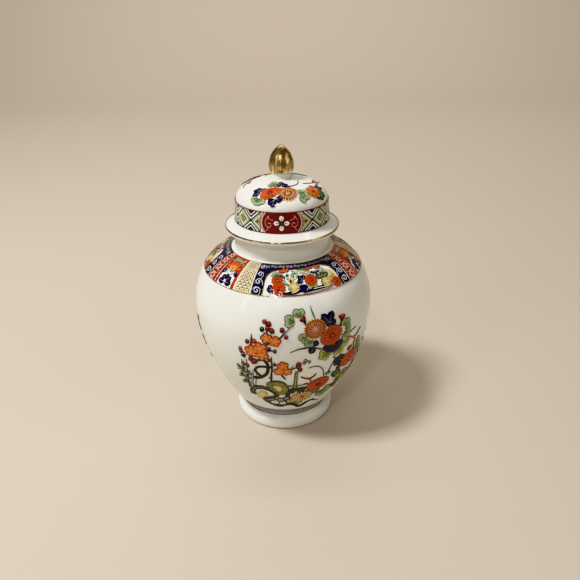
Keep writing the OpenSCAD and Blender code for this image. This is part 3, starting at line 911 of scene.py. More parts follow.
def plum_blossom(turn, height, radius, petal_colour="coral_enamel", rim_colour="iron_red", lean=0.0, coat=2,
        rim=0.76):
    """An open plum blossom: five round petals with red rims, a yellow eye and its stamens."""
    blossom = Brush(scene, turn, height, lean=lean)
    blossom.dot(rim_colour, (0, 0), 0.8 * radius, coat=coat)
    for layer, colour, spread in ((0, rim_colour, 0.49), (1, petal_colour, 0.47 * rim)):
        for i in range(5):
            angle = math.radians(90 + 72 * i)
            blossom.dot(colour, (0.58 * radius * math.cos(angle), 0.58 * radius * math.sin(angle)),
                        spread * radius, coat=coat + layer)
    blossom.dot(petal_colour, (0, 0), 0.62 * radius, coat=coat + 1)
    blossom.dot("sun_yellow", (0, 0), 0.25 * radius, coat=coat + 3, sides=20, rings=2, wave=0.16)
    blossom.dot("deep_red", (0, 0), 0.1 * radius, coat=coat + 4, sides=8, rings=1)


def plum_bud(turn, height, radius, colour):
    """A closed bud: a round dab with a dark cup and a light touch."""
    bud = Brush(scene, turn, height)
    bud.dot("outline_black", (0, -0.3 * radius), 1.04 * radius, coat=2)
    bud.dot(colour, (0, 0.1 * radius), radius, coat=3)
    bud.line("pink_line", [(-0.4 * radius, 0.1 * radius), (0, 0.6 * radius), (0.4 * radius, 0.3 * radius)],
             0.22, coat=4, taper=(0.5, 0.5), steps=2)


def bough(spots, width, taper=(1.0, 0.6), steps=4):
    """A branch of the plum tree: a black line that thins towards its tip."""
    scene.line("outline_black", spots, width, coat=1, taper=taper, steps=steps)


# the plum tree: trunk with its loop, the straight stem and twigs
bough([(-15.5, 86.2), (-12.6, 87.2), (-10.4, 85.0), (-9.5, 81.5), (-9.8, 77), (-11, 73), (-13.6, 69.8),
       (-16.8, 67.6), (-21, 67.0)], 2.7, taper=(0.7, 1.0))
bough([(-6.4, 80.4), (-9.4, 80.2), (-13, 80.4), (-16.4, 79), (-18.2, 76.2), (-17.4, 73), (-15.2, 70.4)], 2.2,
      taper=(0.7, 0.9))
bough([(-6.9, 90.5), (-7.1, 84), (-7.2, 78), (-7.9, 71), (-8.4, 64)], 1.8, taper=(0.4, 0.9))
bough([(-19.5, 91), (-19.2, 88), (-18.6, 84.5)], 1.8)
bough([(-6.5, 105), (-8.6, 102), (-10.4, 99.6)], 1.7)
bough([(-9.4, 109), (-9.2, 113), (-9.6, 117), (-9.8, 121)], 0.9, taper=(1.0, 0.0))
bough([(-3, 105.8), (-1.2, 107.6), (0.6, 110), (4.2, 114.6)], 1.1, taper=(1.0, 0.0))
bough([(-9.2, 95.8), (-7, 96), (-4.6, 96)], 1.1)
bough([(-18.4, 109), (-18.6, 104), (-19, 97)], 1.2, taper=(0.0, 1.0))
bough([(-26, 90), (-25, 91.5), (-23.5, 91)], 1.0)
bough([(-26.5, 88), (-25, 88.6), (-23, 90)], 0.9)
bough([(-1.2, 72), (0.2, 69.8), (1.6, 67.2)], 1.2, taper=(1.0, 0.0))
bough([(4.4, 77.4), (6.6, 79.2), (8.4, 79.6)], 1.1)
bough([(5.0, 79.8), (6.2, 82.6)], 0.6, taper=(1.0, 0.0), steps=1)
bough([(-9.6, 68.8), (-8.2, 69.6)], 1.0, steps=1)
plum_blossom(-12.6, 91.8, 4.9, lean=30)
plum_blossom(-18.9, 94.0, 5.3)
plum_blossom(-13.4, 97.4, 5.2, lean=20, coat=3)
plum_blossom(-9.5, 106.4, 4.3, petal_colour="coral_enamel", rim_colour="dark_green", lean=10, rim=0.7)
plum_blossom(-4.6, 104.2, 4.4, lean=-12)
plum_blossom(2.2, 76.2, 3.9, petal_colour="coral_enamel", lean=15)
plum_blossom(-2.8, 76.4, 4.1, petal_colour="coral_enamel", rim_colour="rust_enamel", coat=3)
plum_blossom(-0.3, 81.9, 4.3, lean=10, coat=3)
for turn, height, radius, colour in (
        (-21.2, 102.0, 1.6, "deep_red"), (-16.9, 103.3, 1.7, "iron_red"), (-26.2, 94.4, 1.5, "rust_enamel"),
        (-26.0, 91.8, 1.3, "deep_red"), (-24.6, 88.4, 1.5, "aubergine"), (-8.1, 97.8, 1.3, "aubergine"),
        (-4.8, 95.9, 1.4, "dark_green"), (-10.7, 119, 1.4, "rust_enamel"), (-8.1, 117.5, 1.8, "deep_red"),
        (-12.0, 113.4, 1.6, "aubergine"), (-8.7, 114.2, 1.7, "deep_red"), (-6.2, 112.6, 1.8, "deep_red"),
        (-0.3, 113.3, 1.7, "deep_red"), (1.9, 107.8, 1.4, "deep_red"), (-8.5, 87.4, 1.3, "deep_red"),
        (-5.4, 83.4, 1.3, "deep_red"), (9.4, 82.6, 2.1, "deep_red"), (9.7, 79.6, 1.6, "deep_red"),
        (10.5, 77.2, 1.7, "deep_red"), (-20.0, 86.6, 1.9, "deep_red"), (-17.4, 85.2, 2.0, "deep_red"),
        (-18.8, 83.8, 1.6, "deep_red"), (-25.8, 80.2, 1.7, "rust_enamel"), (-23.2, 79.2, 1.6, "deep_red")):
    plum_bud(turn, height, radius, colour)
for turn, height in ((12.6, 83.4), (15.8, 83.9), (13.4, 85.6)):
    loop = Brush(scene, turn, height)
    loop.line("outline_black", [(1.3 * math.cos(math.radians(a)), 1.1 * math.sin(math.radians(a)))
                                for a in range(-120, 200, 40)], 0.5, coat=1, steps=2)

# pine and bamboo at the left edge, in grey and dark green
for spots, colour, width in (
        ([(-23.2, 85), (-23.8, 76), (-24.6, 66), (-26.2, 54)], "outline_black", 0.9),
        ([(-19.2, 76), (-21.0, 68), (-22.6, 61), (-23.4, 55)], "dark_green", 2.2),
        ([(-19.2, 76), (-21.0, 68), (-22.6, 61), (-23.4, 55)], "grey_scroll", 1.4),
        ([(-17.4, 75), (-18.8, 66), (-20.4, 58)], "aubergine", 0.7),
        ([(-29.0, 71), (-27.4, 66), (-26.0, 60), (-25.0, 53)], "outline_black", 1.1),
        ([(-31.0, 78), (-28.4, 74), (-26.0, 70)], "dark_green", 0.9),
        ([(-26.6, 84), (-26.2, 78), (-25.4, 70)], "dark_green", 0.8)):
    scene.line(colour, spots, width, coat=1 if colour != "grey_scroll" else 3, taper=(0.4, 1.0))
for turn, height, lean in ((-28.6, 75, 25), (-26.0, 72, 5), (-28.6, 66.5, 15), (-24.4, 66, -15),
        (-23.4, 71.5, -30), (-27.4, 59.5, 15)):
    needles = Brush(scene, turn, height, lean=lean)
    for i, way in enumerate(range(-84, 85, 28)):
        needles.petal("leaf_green" if i % 3 == 1 else "dark_green", (0, -1.4), way, 4.4, 0.75, coat=i % 2,
            rows=4)

# the rocks: a purple arch, a green stone, a yellow hollow and the dark ground line
arch_path = [(-25.0, 44.6), (-24.8, 49), (-22.6, 53.4), (-19, 55.4), (-15, 56.0), (-10.6, 54.4), (-7.0, 51.2),
             (-5.6, 47.2), (-8.2, 44.2), (-12.4, 42.6), (-16.4, 40.6), (-15.6, 37.4), (-11.4, 34.2)]
hollow = Brush(scene, -17, 46.6)
hollow.patch("sun_yellow", [(-5.2, -4.6), (-4.0, 0.4), (-0.6, 5.0), (3.6, 4.0), (4.4, 0.2), (1.4, -3.0),
    (-1.6, -6.6)], coat=0)
scene.line("outline_black", arch_path, 5.2, coat=1, taper=(0.95, 0.55))
scene.line("aubergine", arch_path[:4], 3.0, coat=3, taper=(0.9, 0.6))
for start in (1, 3, 5):
    for shift in (-0.6, 0.9):
        scene.line("outline_black" if shift < 0 else "grey_scroll", [(t + shift, h + shift) for t,
            h in arch_path[start:start + 3]], 0.5, coat=5, taper=(0.4, 0.4))
green_rock = Brush(scene, -4.2, 56.8)
rock_edge = [(-8.4, 4.0), (-4.8, 8.0), (0, 9.4), (4.6, 7.6), (7.2, 2.8), (8.0, -2.4), (5.0, -7.8),
    (0.8, -8.8), (-2.2, -5.2), (-5.4, -1.6)]
eye_edge = [(-4.6, 2.8), (-1.6, 4.8), (1.8, 4.2), (3.8, 0.6), (3.0, -3.6), (0.6, -5.4), (-1.6, -2.4)]
for coat, (colour, edge, size) in enumerate((("dark_green", rock_edge, 1.04),
        ("moss_yellow", rock_edge, 0.92), ("dark_green", eye_edge, 1.08), ("sun_yellow", eye_edge, 0.88))):
    green_rock.patch(colour, [(size * x, size * y) for x, y in edge], coat=coat)
for points in ([(4.0, 6.6), (5.8, 3.0), (6.2, -1.2)], [(-4.4, 6.0), (-0.6, 7.6), (2.6, 6.8)],
        [(5.4, -3.6), (3.4, -6.4)], [(-5.6, 2.6), (-4.6, 0.4), (-3.0, -1.8)]):
    green_rock.line("dark_green", points, 0.7, coat=3, taper=(0.4, 0.4), steps=2)
for turn, height, width, tall, colour in ((-8.2, 37.2, 3.6, 3.6, "white_enamel"),
        (-3.2, 40.6, 2.8, 3.2, "grey_scroll"), (-10.4, 41.0, 2.8, 1.8, "leaf_green"),
        (-1.0, 36.2, 3.0, 3.4, "white_enamel"), (5.4, 39.0, 4.4, 3.8, "moss_yellow"),
        (2.0, 43.0, 2.6, 2.4, "leaf_green"), (11.6, 36.4, 3.6, 2.6, "moss_yellow")):
    stone = Brush(scene, turn, height)
    outline = [(-width, -0.3 * tall), (-0.6 * width, 0.7 * tall), (0.2 * width, tall),
        (0.9 * width, 0.4 * tall), (0.7 * width, -0.8 * tall), (-0.4 * width, -0.9 * tall)]
    stone.patch(colour, outline, coat=0)
    stone.line("outline_black", outline + outline[:2], 0.8, coat=2, steps=3)
    stone.line("aubergine", [(-0.3 * width, 0.5 * tall), (0.1 * width, -0.1 * tall),
        (-0.1 * width, -0.7 * tall)], 0.5, coat=2, steps=2)
ground = [(-14, 37.4), (-11, 33.8), (-7, 31.6), (-3, 31.2), (1, 33.0), (5, 33.8), (9, 32.6), (11.4, 30.2),
    (14, 28.8), (17, 30.0), (20, 33.2), (23.6, 34.8), (27.6, 33.4), (33, 30.8)]
scene.line("outline_black", ground, 5.2, coat=3, taper=(0.6, 0.0))
scene.line("outline_black", [(t + 0.8, h - 0.5 + (i % 2) * 1.2) for i, (t, h) in enumerate(ground[2:11])],
    2.2, coat=4, taper=(0.5, 0.4))
scene.line("aubergine", [(t, h + 0.3) for t, h in ground[2:12]], 0.6, coat=6, taper=(0.5, 0.5))
scene.line("outline_black", [(25.4, 37.4), (26.6, 34.4)], 1.3, coat=3, taper=(0.0, 1.0), steps=1)

# the middle: a green post, a bank of grass and dark leaves
scene.line("dark_green", [(8.4, 75.4), (8.0, 66), (7.6, 57)], 2.9, coat=0, taper=(0.8, 1.0), steps=3)
scene.line("leaf_green", [(8.4, 75), (8.0, 66), (7.6, 57.6)], 1.6, coat=1, taper=(0.8, 1.0), steps=3)
for height in (60, 62.6, 65.2, 67.8, 70.4, 73):
    scene.line("dark_green", [(6.9, height), (9.3, height + 0.4)], 0.6, coat=2, steps=1)
scene.line("dark_green", [(-12, 61.4), (-8, 62), (-4, 61), (1, 60), (5, 58.8), (9, 58.6), (13, 59.4),
    (17.4, 60.6)], 0.9, coat=1, taper=(0.4, 0.4))
scene.line("moss_yellow", [(-12, 62.6), (-8, 63), (-4, 62.4), (1, 61), (5, 60), (10, 59.8)], 0.7, coat=1,
           taper=(0.4, 0.4))
leaf_spray(Brush(scene, 8.8, 52.8), [(0, 0, -88, 7.0, 4.4), (0, 0, -58, 5.6, 3.4), (0, 0, 72, 8.4, 4.6),
    (0, 0, 100, 7.0, 4.0), (0, 0, -115, 6.2, 3.6), (0, 0, 20, 4.0, 3.0)], "outline_black", "dark_green",
    "dark_green", coat=0)
leaf_spray(Brush(scene, 4.2, 47.4), [(0.6, 0, -70, 3.6, 3.0), (0.6, 0, -110, 3.8, 3.0)], "aubergine",
    "outline_black", "outline_black", coat=0)
Brush(scene, 15.4, 60).dot("dark_green", (0, 0), 1.4, coat=2, squash=0.7)
scene.line("dark_green", [(16, 77.4), (19, 78.2), (22.6, 77.2), (25.6, 74), (27.4, 69.4), (28.4, 64.6)],
    0.85, coat=0, taper=(0.3, 1.0))
scene.line("dark_green", [(32.4, 82.4), (34.6, 80.4), (33.2, 75.4), (31.8, 70), (30.6, 64.4)], 0.9, coat=0,
           taper=(0.8, 1.0))
leaf_spray(Brush(scene, 31.4, 65.4), [(0, 0, 60, 2.6, 1.8), (0, 0, -50, 2.4, 1.6)], *GREEN_LEAF)
for spots, width, taper in (([(11.4, 69.2), (13.8, 67.2), (16.6, 65.8), (18, 65.6)], 1.7, (0.5, 1.0)),
                            ([(21.8, 70), (20.6, 67.6), (18, 65.4)], 1.5, (0.5, 1.0)),
                            ([(17.8, 66), (18.6, 63), (19.4, 59.6)], 1.4, (1.2, 0.6))):
    scene.line("deep_red", spots, width, coat=2, taper=taper)
    scene.line("iron_red", spots, width * 0.45, coat=4, taper=taper)

# chrysanthemums, with their leaves behind them
leaf_spray(Brush(scene, 4.6, 118.8, size=1.15), [(2.4, 0, -60, 6.4, 4.8), (2.4, 0, -108, 6.0, 4.6)],
           *GREEN_LEAF)
leaf_spray(Brush(scene, 9.7, 124.2, size=1.2), [(0, -2.4, -26, 5.2, 3.8), (0, -2.4, 26, 5.2, 3.8)],
           *GREEN_LEAF)
scene.line("outline_black", [(14.0, 114.6), (13.0, 117), (12.2, 118.6)], 1.2, coat=1, taper=(0.8, 1.0))
bell = Brush(scene, 12, 119.8, lean=35)
for way, colour in ((-32, "deep_red"), (32, "deep_red"), (0, "rust_enamel")):
    bell.petal(colour, (0, -1.8), way, 4.0, 2.0, coat=3)
bell.dot("outline_black", (0, -1.8), 1.1, coat=4)
scene.line("dark_green", [(17.2, 128.4), (18.2, 123), (19.8, 117.6)], 0.8, coat=0, taper=(0.0, 1.0))
for lobe_turn, lobe_height, ways in ((28.0, 114.8, ((-38, 8.4, 5.6), (30, 8.2, 6.0), (108, 6.6, 5.2),
        (-100, 3.6, 4.4), (180, 4.0, 4.4))), (18.4, 97.4, ((24, 5.4, 5.4), (204, 6.6, 5.8))), (31.6, 93.6,
        ((-86, 9.6, 4.2), (-108, 8.6, 4.2), (-60, 7.4, 4.0), (74, 8.6, 4.6), (98, 9.0, 4.6),
        (122, 7.8, 4.2), (150, 6.6, 4.0), (180, 6.4, 4.0), (210, 6.8, 4.0), (235, 7.4, 4.0))), (38.4, 76.8,
        ((-60, 5.6, 4.8), (-110, 5.2, 4.4), (10, 5.4, 4.6), (60, 6.2, 4.8), (170, 6.6, 4.8),
        (215, 6.4, 4.4)))):
    leaf_spray(Brush(scene, lobe_turn, lobe_height), [(0, 0, way, length, width) for way, length,
        width in ways], "cobalt_blue", "cobalt_blue", "outline_black" if lobe_turn > 30 else "grey_scroll",
        coat=0, rim=0.12)
for turn, height, coat, fill, leaves in ((12.2, 105.6, 0, "leaf_green", ((1.8, 0, -70, 5.8, 5.2),
        (1.8, -0.4, -140, 4.0, 3.4), (1.8, 0.4, -5, 4.0, 3.4))), (15.6, 101.8, 0, "leaf_green",
        ((0, 1.4, 200, 5.6, 4.6), (0, 1.4, 150, 5.4, 4.4), (0, 1.4, -95, 3.4, 3.0))), (40.0, 104, 0,
        "leaf_green", ((0, 3, -20, 6.6, 5.0), (0, 2, 35, 7.2, 5.2), (0, 0, 85, 6.0, 4.6),
        (0, -2, 130, 6.6, 5.0), (0, -2, 178, 8.0, 5.2))), (41, 93.6, 0, "moss_yellow",
        ((0, 1, 160, 6.4, 4.8), (0, 1, 110, 5.6, 4.2), (0, 1, 205, 5.6, 4.2))), (26.0, 87.4, 0,
        "moss_yellow", ((1.4, 1, -64, 6.2, 5.2), (1.4, 0.6, -118, 6.6, 5.2), (1.4, 0.6, 184, 6.2, 4.6),
        (1.4, 1, 120, 4.6, 4.0))), (36.2, 88.0, 0, "moss_yellow", ((0, 1.4, 90, 6.2, 4.6),
        (0, 1, 140, 6.6, 4.8), (0, 1, 205, 6.4, 4.8)))):
    leaf_spray(Brush(scene, turn, height), leaves, fill, "dark_green", "dark_green", coat=coat)
flower_head(Brush(scene, 19.2, 111.6), 9.0, "rust_enamel", "sun_yellow", "pink_line", petals=24,
    squash=0.92, gap=0.14)
blush = Brush(scene, 19.2, 111.6)
for i in range(11):
    blush.petal("pink_line", (0, 0), 360 * i / 11, 4.2, 0.45, coat=5, belly=1.4, rows=4)
flower_head(Brush(scene, 30.0, 103.2, lean=18), 9.8, "iron_red", "deep_red", "pink_line", petals=20,
    squash=0.82, coat=2, gap=0.30)
scene.line("outline_black", [(36.2, 108), (36.6, 111), (37.4, 113.6)], 1.1, coat=1, taper=(0.8, 1.0))
tulip = Brush(scene, 37.6, 114, lean=-8)
for way, colour in ((-38, "deep_red"), (38, "deep_red"), (0, "iron_red")):
    tulip.petal(colour, (0, -1), way, 4.6, 2.4, coat=3)
tulip.dot("outline_black", (0, -1), 1.3, coat=4)
scene.line("outline_black", [(4.2, 94.4), (8.4, 96.6), (13, 97.2), (18, 96.4), (23.4, 93.6)], 0.9, coat=0,
           taper=(0.0, 1.0))
scene.line("dark_green", [(42, 96.4), (45.6, 99.6), (50.4, 101)], 0.9, coat=0, taper=(1.0, 0.3))
for spots in ([(44.6, 95.6), (47.6, 93.2), (50.6, 91.6)], [(50.6, 91.8), (51, 89), (50.6, 85.4)]):
    scene.line("iron_red", spots, 1.8, coat=2, taper=(0.6, 1.0))
scene.line("dark_green", [(50.6, 92), (53.4, 94), (56.4, 97.4)], 1.1, coat=1, taper=(1.0, 0.3))
scene.line("dark_green", [(50.6, 85.4), (51.6, 81), (50.4, 77)], 0.9, coat=0)
leaf_spray(Brush(scene, 54.6, 83), [(0, 0, 20, 6.4, 3.8), (0, 0, 70, 6.2, 4.0), (0, 0, 130, 6.0, 4.0)],
    *MOSS_LEAF)
leaf_spray(Brush(scene, 47, 81.6), [(0, 0, -30, 3.6, 2.6), (0, 0, 15, 4.0, 2.6)], "deep_red",
    "outline_black", "iron_red", coat=1)
flower_head(Brush(scene, 49.2, 72.0, lean=-20), 9.8, "iron_red", "rust_enamel", "sun_yellow", petals=20,
    squash=0.84, coat=2, gap=0.3)
leaf_spray(Brush(scene, 39.4, 62.8), [(0, 2, 180, 8.0, 4.8), (0, 2, 140, 7.0, 4.6), (0, 2, 220, 5.6, 4.2),
                                      (0, 2, 20, 5.4, 4.0)], *DARK_LEAF)
leaf_spray(Brush(scene, 46.6, 53.4), [(0, 2, 150, 8.0, 5.2), (0, 2, 60, 8.0, 5.0), (0, 2, -60, 6.6, 4.6)],
    *MOSS_LEAF)
leaf_spray(Brush(scene, 43.6, 46.4), [(0, 1, 90, 7.4, 5.0), (0, 1, 150, 6.6, 4.6), (0, 1, -120, 7.0, 4.8),
                                      (0, 1, 20, 6.6, 4.4)], *DARK_LEAF)
leaf_spray(Brush(scene, 33.0, 42.8), [(0, 2, 172, 9.0, 6.0), (0, 2, 125, 8.0, 5.4), (0, 2, -138, 7.6, 5.4),
                                      (0, 2, 50, 7.0, 5.0)], *GREEN_LEAF, coat=1)
flower_head(Brush(scene, 25.4, 56.6, lean=14), 9.8, "iron_red", "deep_red", "rust_enamel", petals=20,
    squash=0.80, coat=2, gap=0.34)
leaf_spray(Brush(scene, 22, 48.6), [(0, 0, 88, 6.6, 3.6), (0, 0, 125, 6.0, 3.4), (0, 0, -80, 5.4, 3.4),
    (0, 0, -20, 4.4, 3.2)], *DARK_LEAF)
flower_head(Brush(scene, 14.4, 43.8, lean=10), 9.0, "sun_yellow", "rust_enamel", "iron_red", petals=19,
    squash=0.84, coat=2, gap=0.5)

# the trailing end, low round the side and up again: stems, leaves, a last flower and a few buds
for spots, width in (([(56, 80), (62, 76), (70, 68), (78, 65), (88, 71), (96, 80)], 1.1),
        ([(96, 80), (102, 88), (106, 95)], 1.0), ([(56, 66), (62, 64), (68, 60), (76, 57), (86, 59),
        (96, 66), (107, 74)], 1.0), ([(50, 58), (58, 54), (64, 52), (72, 52)], 1.0),
        ([(96, 66), (102, 64), (106, 60)], 0.9)):
    scene.line("dark_green" if width > 1.0 else "outline_black", spots, width, coat=0, taper=(1.0, 0.3))
for turn, height, lean, fill in ((57.5, 78, 20, "leaf_green"), (61.5, 72, 0, "moss_yellow"),
        (60, 65, 10, "moss_yellow"), (68, 62, -10, "leaf_green"), (66, 54, 0, "cobalt_blue"),
        (60.5, 50, 15, "leaf_green"), (55, 49, 15, "moss_yellow"), (94, 86, 30, "rust_enamel"),
        (97, 74, 10, "dark_green"), (103, 84, 10, "dark_green"), (104, 70, 10, "cobalt_blue"),
        (100, 63, 0, "dark_green")):
    leaf_spray(Brush(scene, turn, height, lean=lean), [(0, 0, way, 5.4, 4.2) for way in (-60, 0, 60)], fill,
        {"rust_enamel": "deep_red", "cobalt_blue": "cobalt_blue",
        "dark_green": "outline_black"}.get(fill, "dark_green"), "grey_scroll" if fill == "cobalt_blue"
        else "dark_green", rim=0.12 if fill == "cobalt_blue" else 0.5)
flower_head(Brush(scene, 86, 79, lean=12), 7.0, "coral_enamel", "rust_enamel", "sun_yellow", petals=16,
    squash=0.85, coat=2, open_ring=0.1)
for turn, height, radius, colour in ((107, 97, 1.9, "deep_red"), (94, 92, 1.7, "iron_red"),
        (76, 73, 1.7, "deep_red"), (72.6, 51.6, 1.5, "rust_enamel"), (107, 60, 1.7, "deep_red"),
        (108.5, 80, 1.7, "deep_red")):
    plum_bud(turn, height, radius, colour)
lay_painting("garden", scene, SCENE_COPIES, "jar")
bpy.data.objects.remove(jar_skin.curve)

# The lid: a second casting, a dome on an upright band with a wide brim and a short stem on top. The
# collar under it drops into the mouth with a little play, and nothing else holds the lid.
lid_low, lid_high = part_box("lid")
BRIM_RADIUS = lid_high.x / MM
STEM_TOP = lid_high.z / MM
COLLAR_FOOT = lid_low.z / MM
BAND_FOOT_RADIUS, BAND_TOP_RADIUS = 35.4, 34.3
BAND_LOW, BAND_TOP = 171.3, 186.5
DOME_TOP = 201.5
STEM_RADIUS = 7.2
lid_outside = joined(sweep((BRIM_RADIUS - 1.6, JAR_HEIGHT), (BRIM_RADIUS - 0.5, JAR_HEIGHT),
    (BRIM_RADIUS, JAR_HEIGHT + 1), (BRIM_RADIUS, JAR_HEIGHT + 2), 8), sweep((BRIM_RADIUS, JAR_HEIGHT + 2),
    (BRIM_RADIUS, JAR_HEIGHT + 3.1), (BRIM_RADIUS - 0.5, JAR_HEIGHT + 3.5),
    (BRIM_RADIUS - 1.2, JAR_HEIGHT + 3.7), 6), sweep((BRIM_RADIUS - 1.2, JAR_HEIGHT + 3.7), (39.1, 169.1),
    (36.0, 170.6), (BAND_FOOT_RADIUS, BAND_LOW), 12), [(BAND_FOOT_RADIUS - 0.28, 175.1),
    (BAND_FOOT_RADIUS - 0.55, 178.9), (BAND_FOOT_RADIUS - 0.83, 182.7)], sweep((BAND_TOP_RADIUS, BAND_TOP),
    (33.6, 196.5), (22, 199.5), (STEM_RADIUS + 1.2, DOME_TOP), 40), sweep((STEM_RADIUS + 1.2, DOME_TOP),
    (STEM_RADIUS + 0.3, DOME_TOP + 0.3), (STEM_RADIUS, DOME_TOP + 1), (STEM_RADIUS, STEM_TOP), 10))
lid_inside = joined(
    sweep((0, 197.5), (18.8, 195.9), (29.7, 195.5), (30.3, 187), 26),
    [(30.9, 180), (31.4, 174)],
    sweep((31.4, 172.3), (31.4, 168.4), (28.5, 168), (28.5, 165), 8),
    [(28.5, 160), (28.5, COLLAR_FOOT + 1.2)],
    sweep((28.5, COLLAR_FOOT + 1.2), (28.5, COLLAR_FOOT + 0.5), (29, COLLAR_FOOT), (29.7, COLLAR_FOOT), 4),
    sweep((30.8, COLLAR_FOOT), (31.5, COLLAR_FOOT), (32, COLLAR_FOOT + 0.5), (32, COLLAR_FOOT + 1.2), 4),
    [(32, JAR_HEIGHT - 0.3), (32.3, JAR_HEIGHT), (36, JAR_HEIGHT)])
lid = turned_piece("lid_glaze", joined(lid_inside, lid_outside, [(0, STEM_TOP)]), 200, glaze)
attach(lid, "cover")
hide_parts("lid")

# The lid's painted band: a dark red medallion with a white flower at the front and at the back, and
# between them a woven diaper of green lozenges and nested chevrons.
lid_skin = Skin("lid_skin", lid_outside)
LID_REPEATS = 2
LOW_RUN, TOP_RUN = lid_skin.run(BAND_LOW + 0.5), lid_skin.run(BAND_TOP - 0.4)
MID_RUN, HALF_RUN = (LOW_RUN + TOP_RUN) / 2, (TOP_RUN - LOW_RUN) / 2
MEDALLION_MIDDLE, MEDALLION_END = 23.4, 18.4
FIRST_CROSSING, LOZENGE = 38.0, 26.0
BAND_MIDDLE = BAND_LOW + (BAND_TOP - BAND_LOW) * 0.5
band = Painting(lid_skin)


def bulge(sign, out=0.0):
    """The medallion's bowed side, as (turn in radians, run) places."""
    places = []
    for i in range(13):
        level = -1 + 2 * i / 12
        turn = MEDALLION_END + (MEDALLION_MIDDLE - MEDALLION_END) * (1 - level * level) + out
        places.append((math.radians(sign * turn), MID_RUN + level * HALF_RUN))
    return places


rows = []
for i in range(13):
    level = -1 + 2 * i / 12
    reach = math.radians(MEDALLION_END + (MEDALLION_MIDDLE - MEDALLION_END) * (1 - level * level))
    rows.append([(reach * (-1 + 2 * j / 24), MID_RUN + level * HALF_RUN, 0, (i % 2 + j % 2) / 2)
        for j in range(25)])
band.lay("deep_red", rows, 3)
for sign in (-1, 1):
    band.ribbon("pink_line", bulge(sign, 0.2), 1.7, 4, (1.0, 1.0), steps=1)
    band.ribbon("outline_black", bulge(sign, 1.5), 0.4, 4, (1.0, 1.0), steps=1)
    band.ribbon("outline_black", bulge(sign, -1.1), 0.3, 5, (1.0, 1.0), steps=1)
flower = Brush(band, 0, BAND_MIDDLE)
for i in range(4):
    flower.petal("outline_black", (0, 0), 90 * i, 6.1, 4.5, coat=4, belly=1.7, blunt=0.6)
    flower.petal("white_enamel", (0, 0), 90 * i, 5.6, 3.3, coat=5, belly=1.8, blunt=0.6)
    flower.petal("rust_enamel", (0, 0), 90 * i, 4.0, 0.5, coat=6, rows=3)
for i in range(4):
    flower.petal("outline_black", (0, 0), 45 + 90 * i, 2.6, 1.7, coat=6, rows=4)
flower.dot("outline_black", (0, 0), 1.5, coat=7)
flower.dot("rust_enamel", (0, 0), 0.7, coat=8, sides=10, rings=1)
for sign in (-1, 1):
    curl = Brush(band, sign * 14.6, BAND_MIDDLE, flip=sign < 0)
    curl.line("pink_line", [(-0.4, 5.4), (1.0, 3.9), (2.4, 1.6), (2.4, -1.0), (0.9, -2.9), (-1.1, -2.6),
        (-1.7, -0.9), (-0.5, 0.2), (0.5, -0.7)], 0.5, coat=5, taper=(0.5, 0.8), steps=3)
    curl.line("pink_line", [(-3.0, 2.2), (-1.6, 2.4), (0, 3.4), (1.2, 3.8)], 0.42, coat=5, taper=(0.4, 1.0),
        steps=3)
    curl.line("pink_line", [(0.7, -3.0), (0.9, -4.6), (1.8, -5.6)], 0.42, coat=5, taper=(1.0, 0.4), steps=2)
    curl.dot("pink_line", (0.3, 4.6), 0.55, coat=5, sides=8, rings=1)


def clipped_line(painting, colour, start, end, width, coat):
    """A straight line of the diaper, in pieces, cut off at the medallions."""
    edge = MEDALLION_MIDDLE + 1.4
    places = []
    for i in range(9):
        turn, run = (start[k] + (end[k] - start[k]) * i / 8 for k in (0, 1))
        if edge <= turn <= 180 - edge and LOW_RUN - 0.01 <= run <= TOP_RUN + 0.01:
            places.append((math.radians(turn), run))
    if len(places) > 1:
        painting.ribbon(colour, places, width, coat, (1.0, 1.0), steps=1)


for k in range(5):
    crossing = FIRST_CROSSING + k * LOZENGE
    half = LOZENGE / 2
    for nest, (colour, width) in enumerate((("outline_black", 0.6), ("leaf_green", 1.3),
            ("white_enamel", 0.6), ("leaf_green", 1.0))):
        inset_turn = (0, 2.3, 4.6, 6.6)[nest]
        for side in (-1, 1):
            for tip in (-1, 1):
                clipped_line(band, colour, (crossing + side * inset_turn, MID_RUN), (crossing + side * half,
                    MID_RUN + tip * HALF_RUN * (1 - inset_turn / half)), width, 1)
    for nest, (colour, width) in enumerate((("white_enamel", 1.1), ("cobalt_blue", 1.2),
            ("white_enamel", 0.9), ("cobalt_blue", 1.4))):
        inset_run = (1.4, 2.6, 3.8, 5.2)[nest]
        for side in (-1, 1):
            for tip in (-1, 1):
                clipped_line(band, colour, (crossing, MID_RUN + tip * inset_run),
                    (crossing + side * half * (1 - inset_run / HALF_RUN), MID_RUN + tip * HALF_RUN), width,
                    1)
    for tip in (-1, 1):
        filled = Brush(band, crossing, BAND_LOW + (BAND_TOP - BAND_LOW) * (0.5 + tip * 0.42))
        filled.dot("cobalt_blue", (0, 0.15 * tip), 0.7, coat=2, sides=8, rings=1)
    if k < 4:
        centre = crossing + half
        heart = Brush(band, centre, BAND_MIDDLE)
        heart.patch("rust_enamel", [(-3.0, 0), (0, 2.6), (3.0, 0), (0, -2.6)], coat=0, steps=3)
        for way in (0, 90, 180, 270):
            heart.petal("outline_black", (0, 0), way, 2.7, 1.9, coat=2, rows=4)
            heart.petal("sun_yellow", (0, 0), way, 2.2, 1.0, coat=3, rows=4)
        heart.dot("deep_red", (0, 0), 0.6, coat=4, sides=8, rings=1)
for sign in (-1, 1):
    small = Brush(band, 90 + sign * 61.2, BAND_MIDDLE)
    small.dot("sun_yellow", (0, 0), 1.9, coat=0, squash=1.15)
    for way in (0, 90, 180, 270):
        small.petal("deep_red", (0, 0), way, 1.6, 1.1, coat=2, rows=3)
for run, width in ((LOW_RUN - 0.3, 0.55), (TOP_RUN + 0.3, 0.55)):
    band.field("deep_red", -90, 90, run - width / 2, run + width / 2, coat=4, columns=90, lines=1)
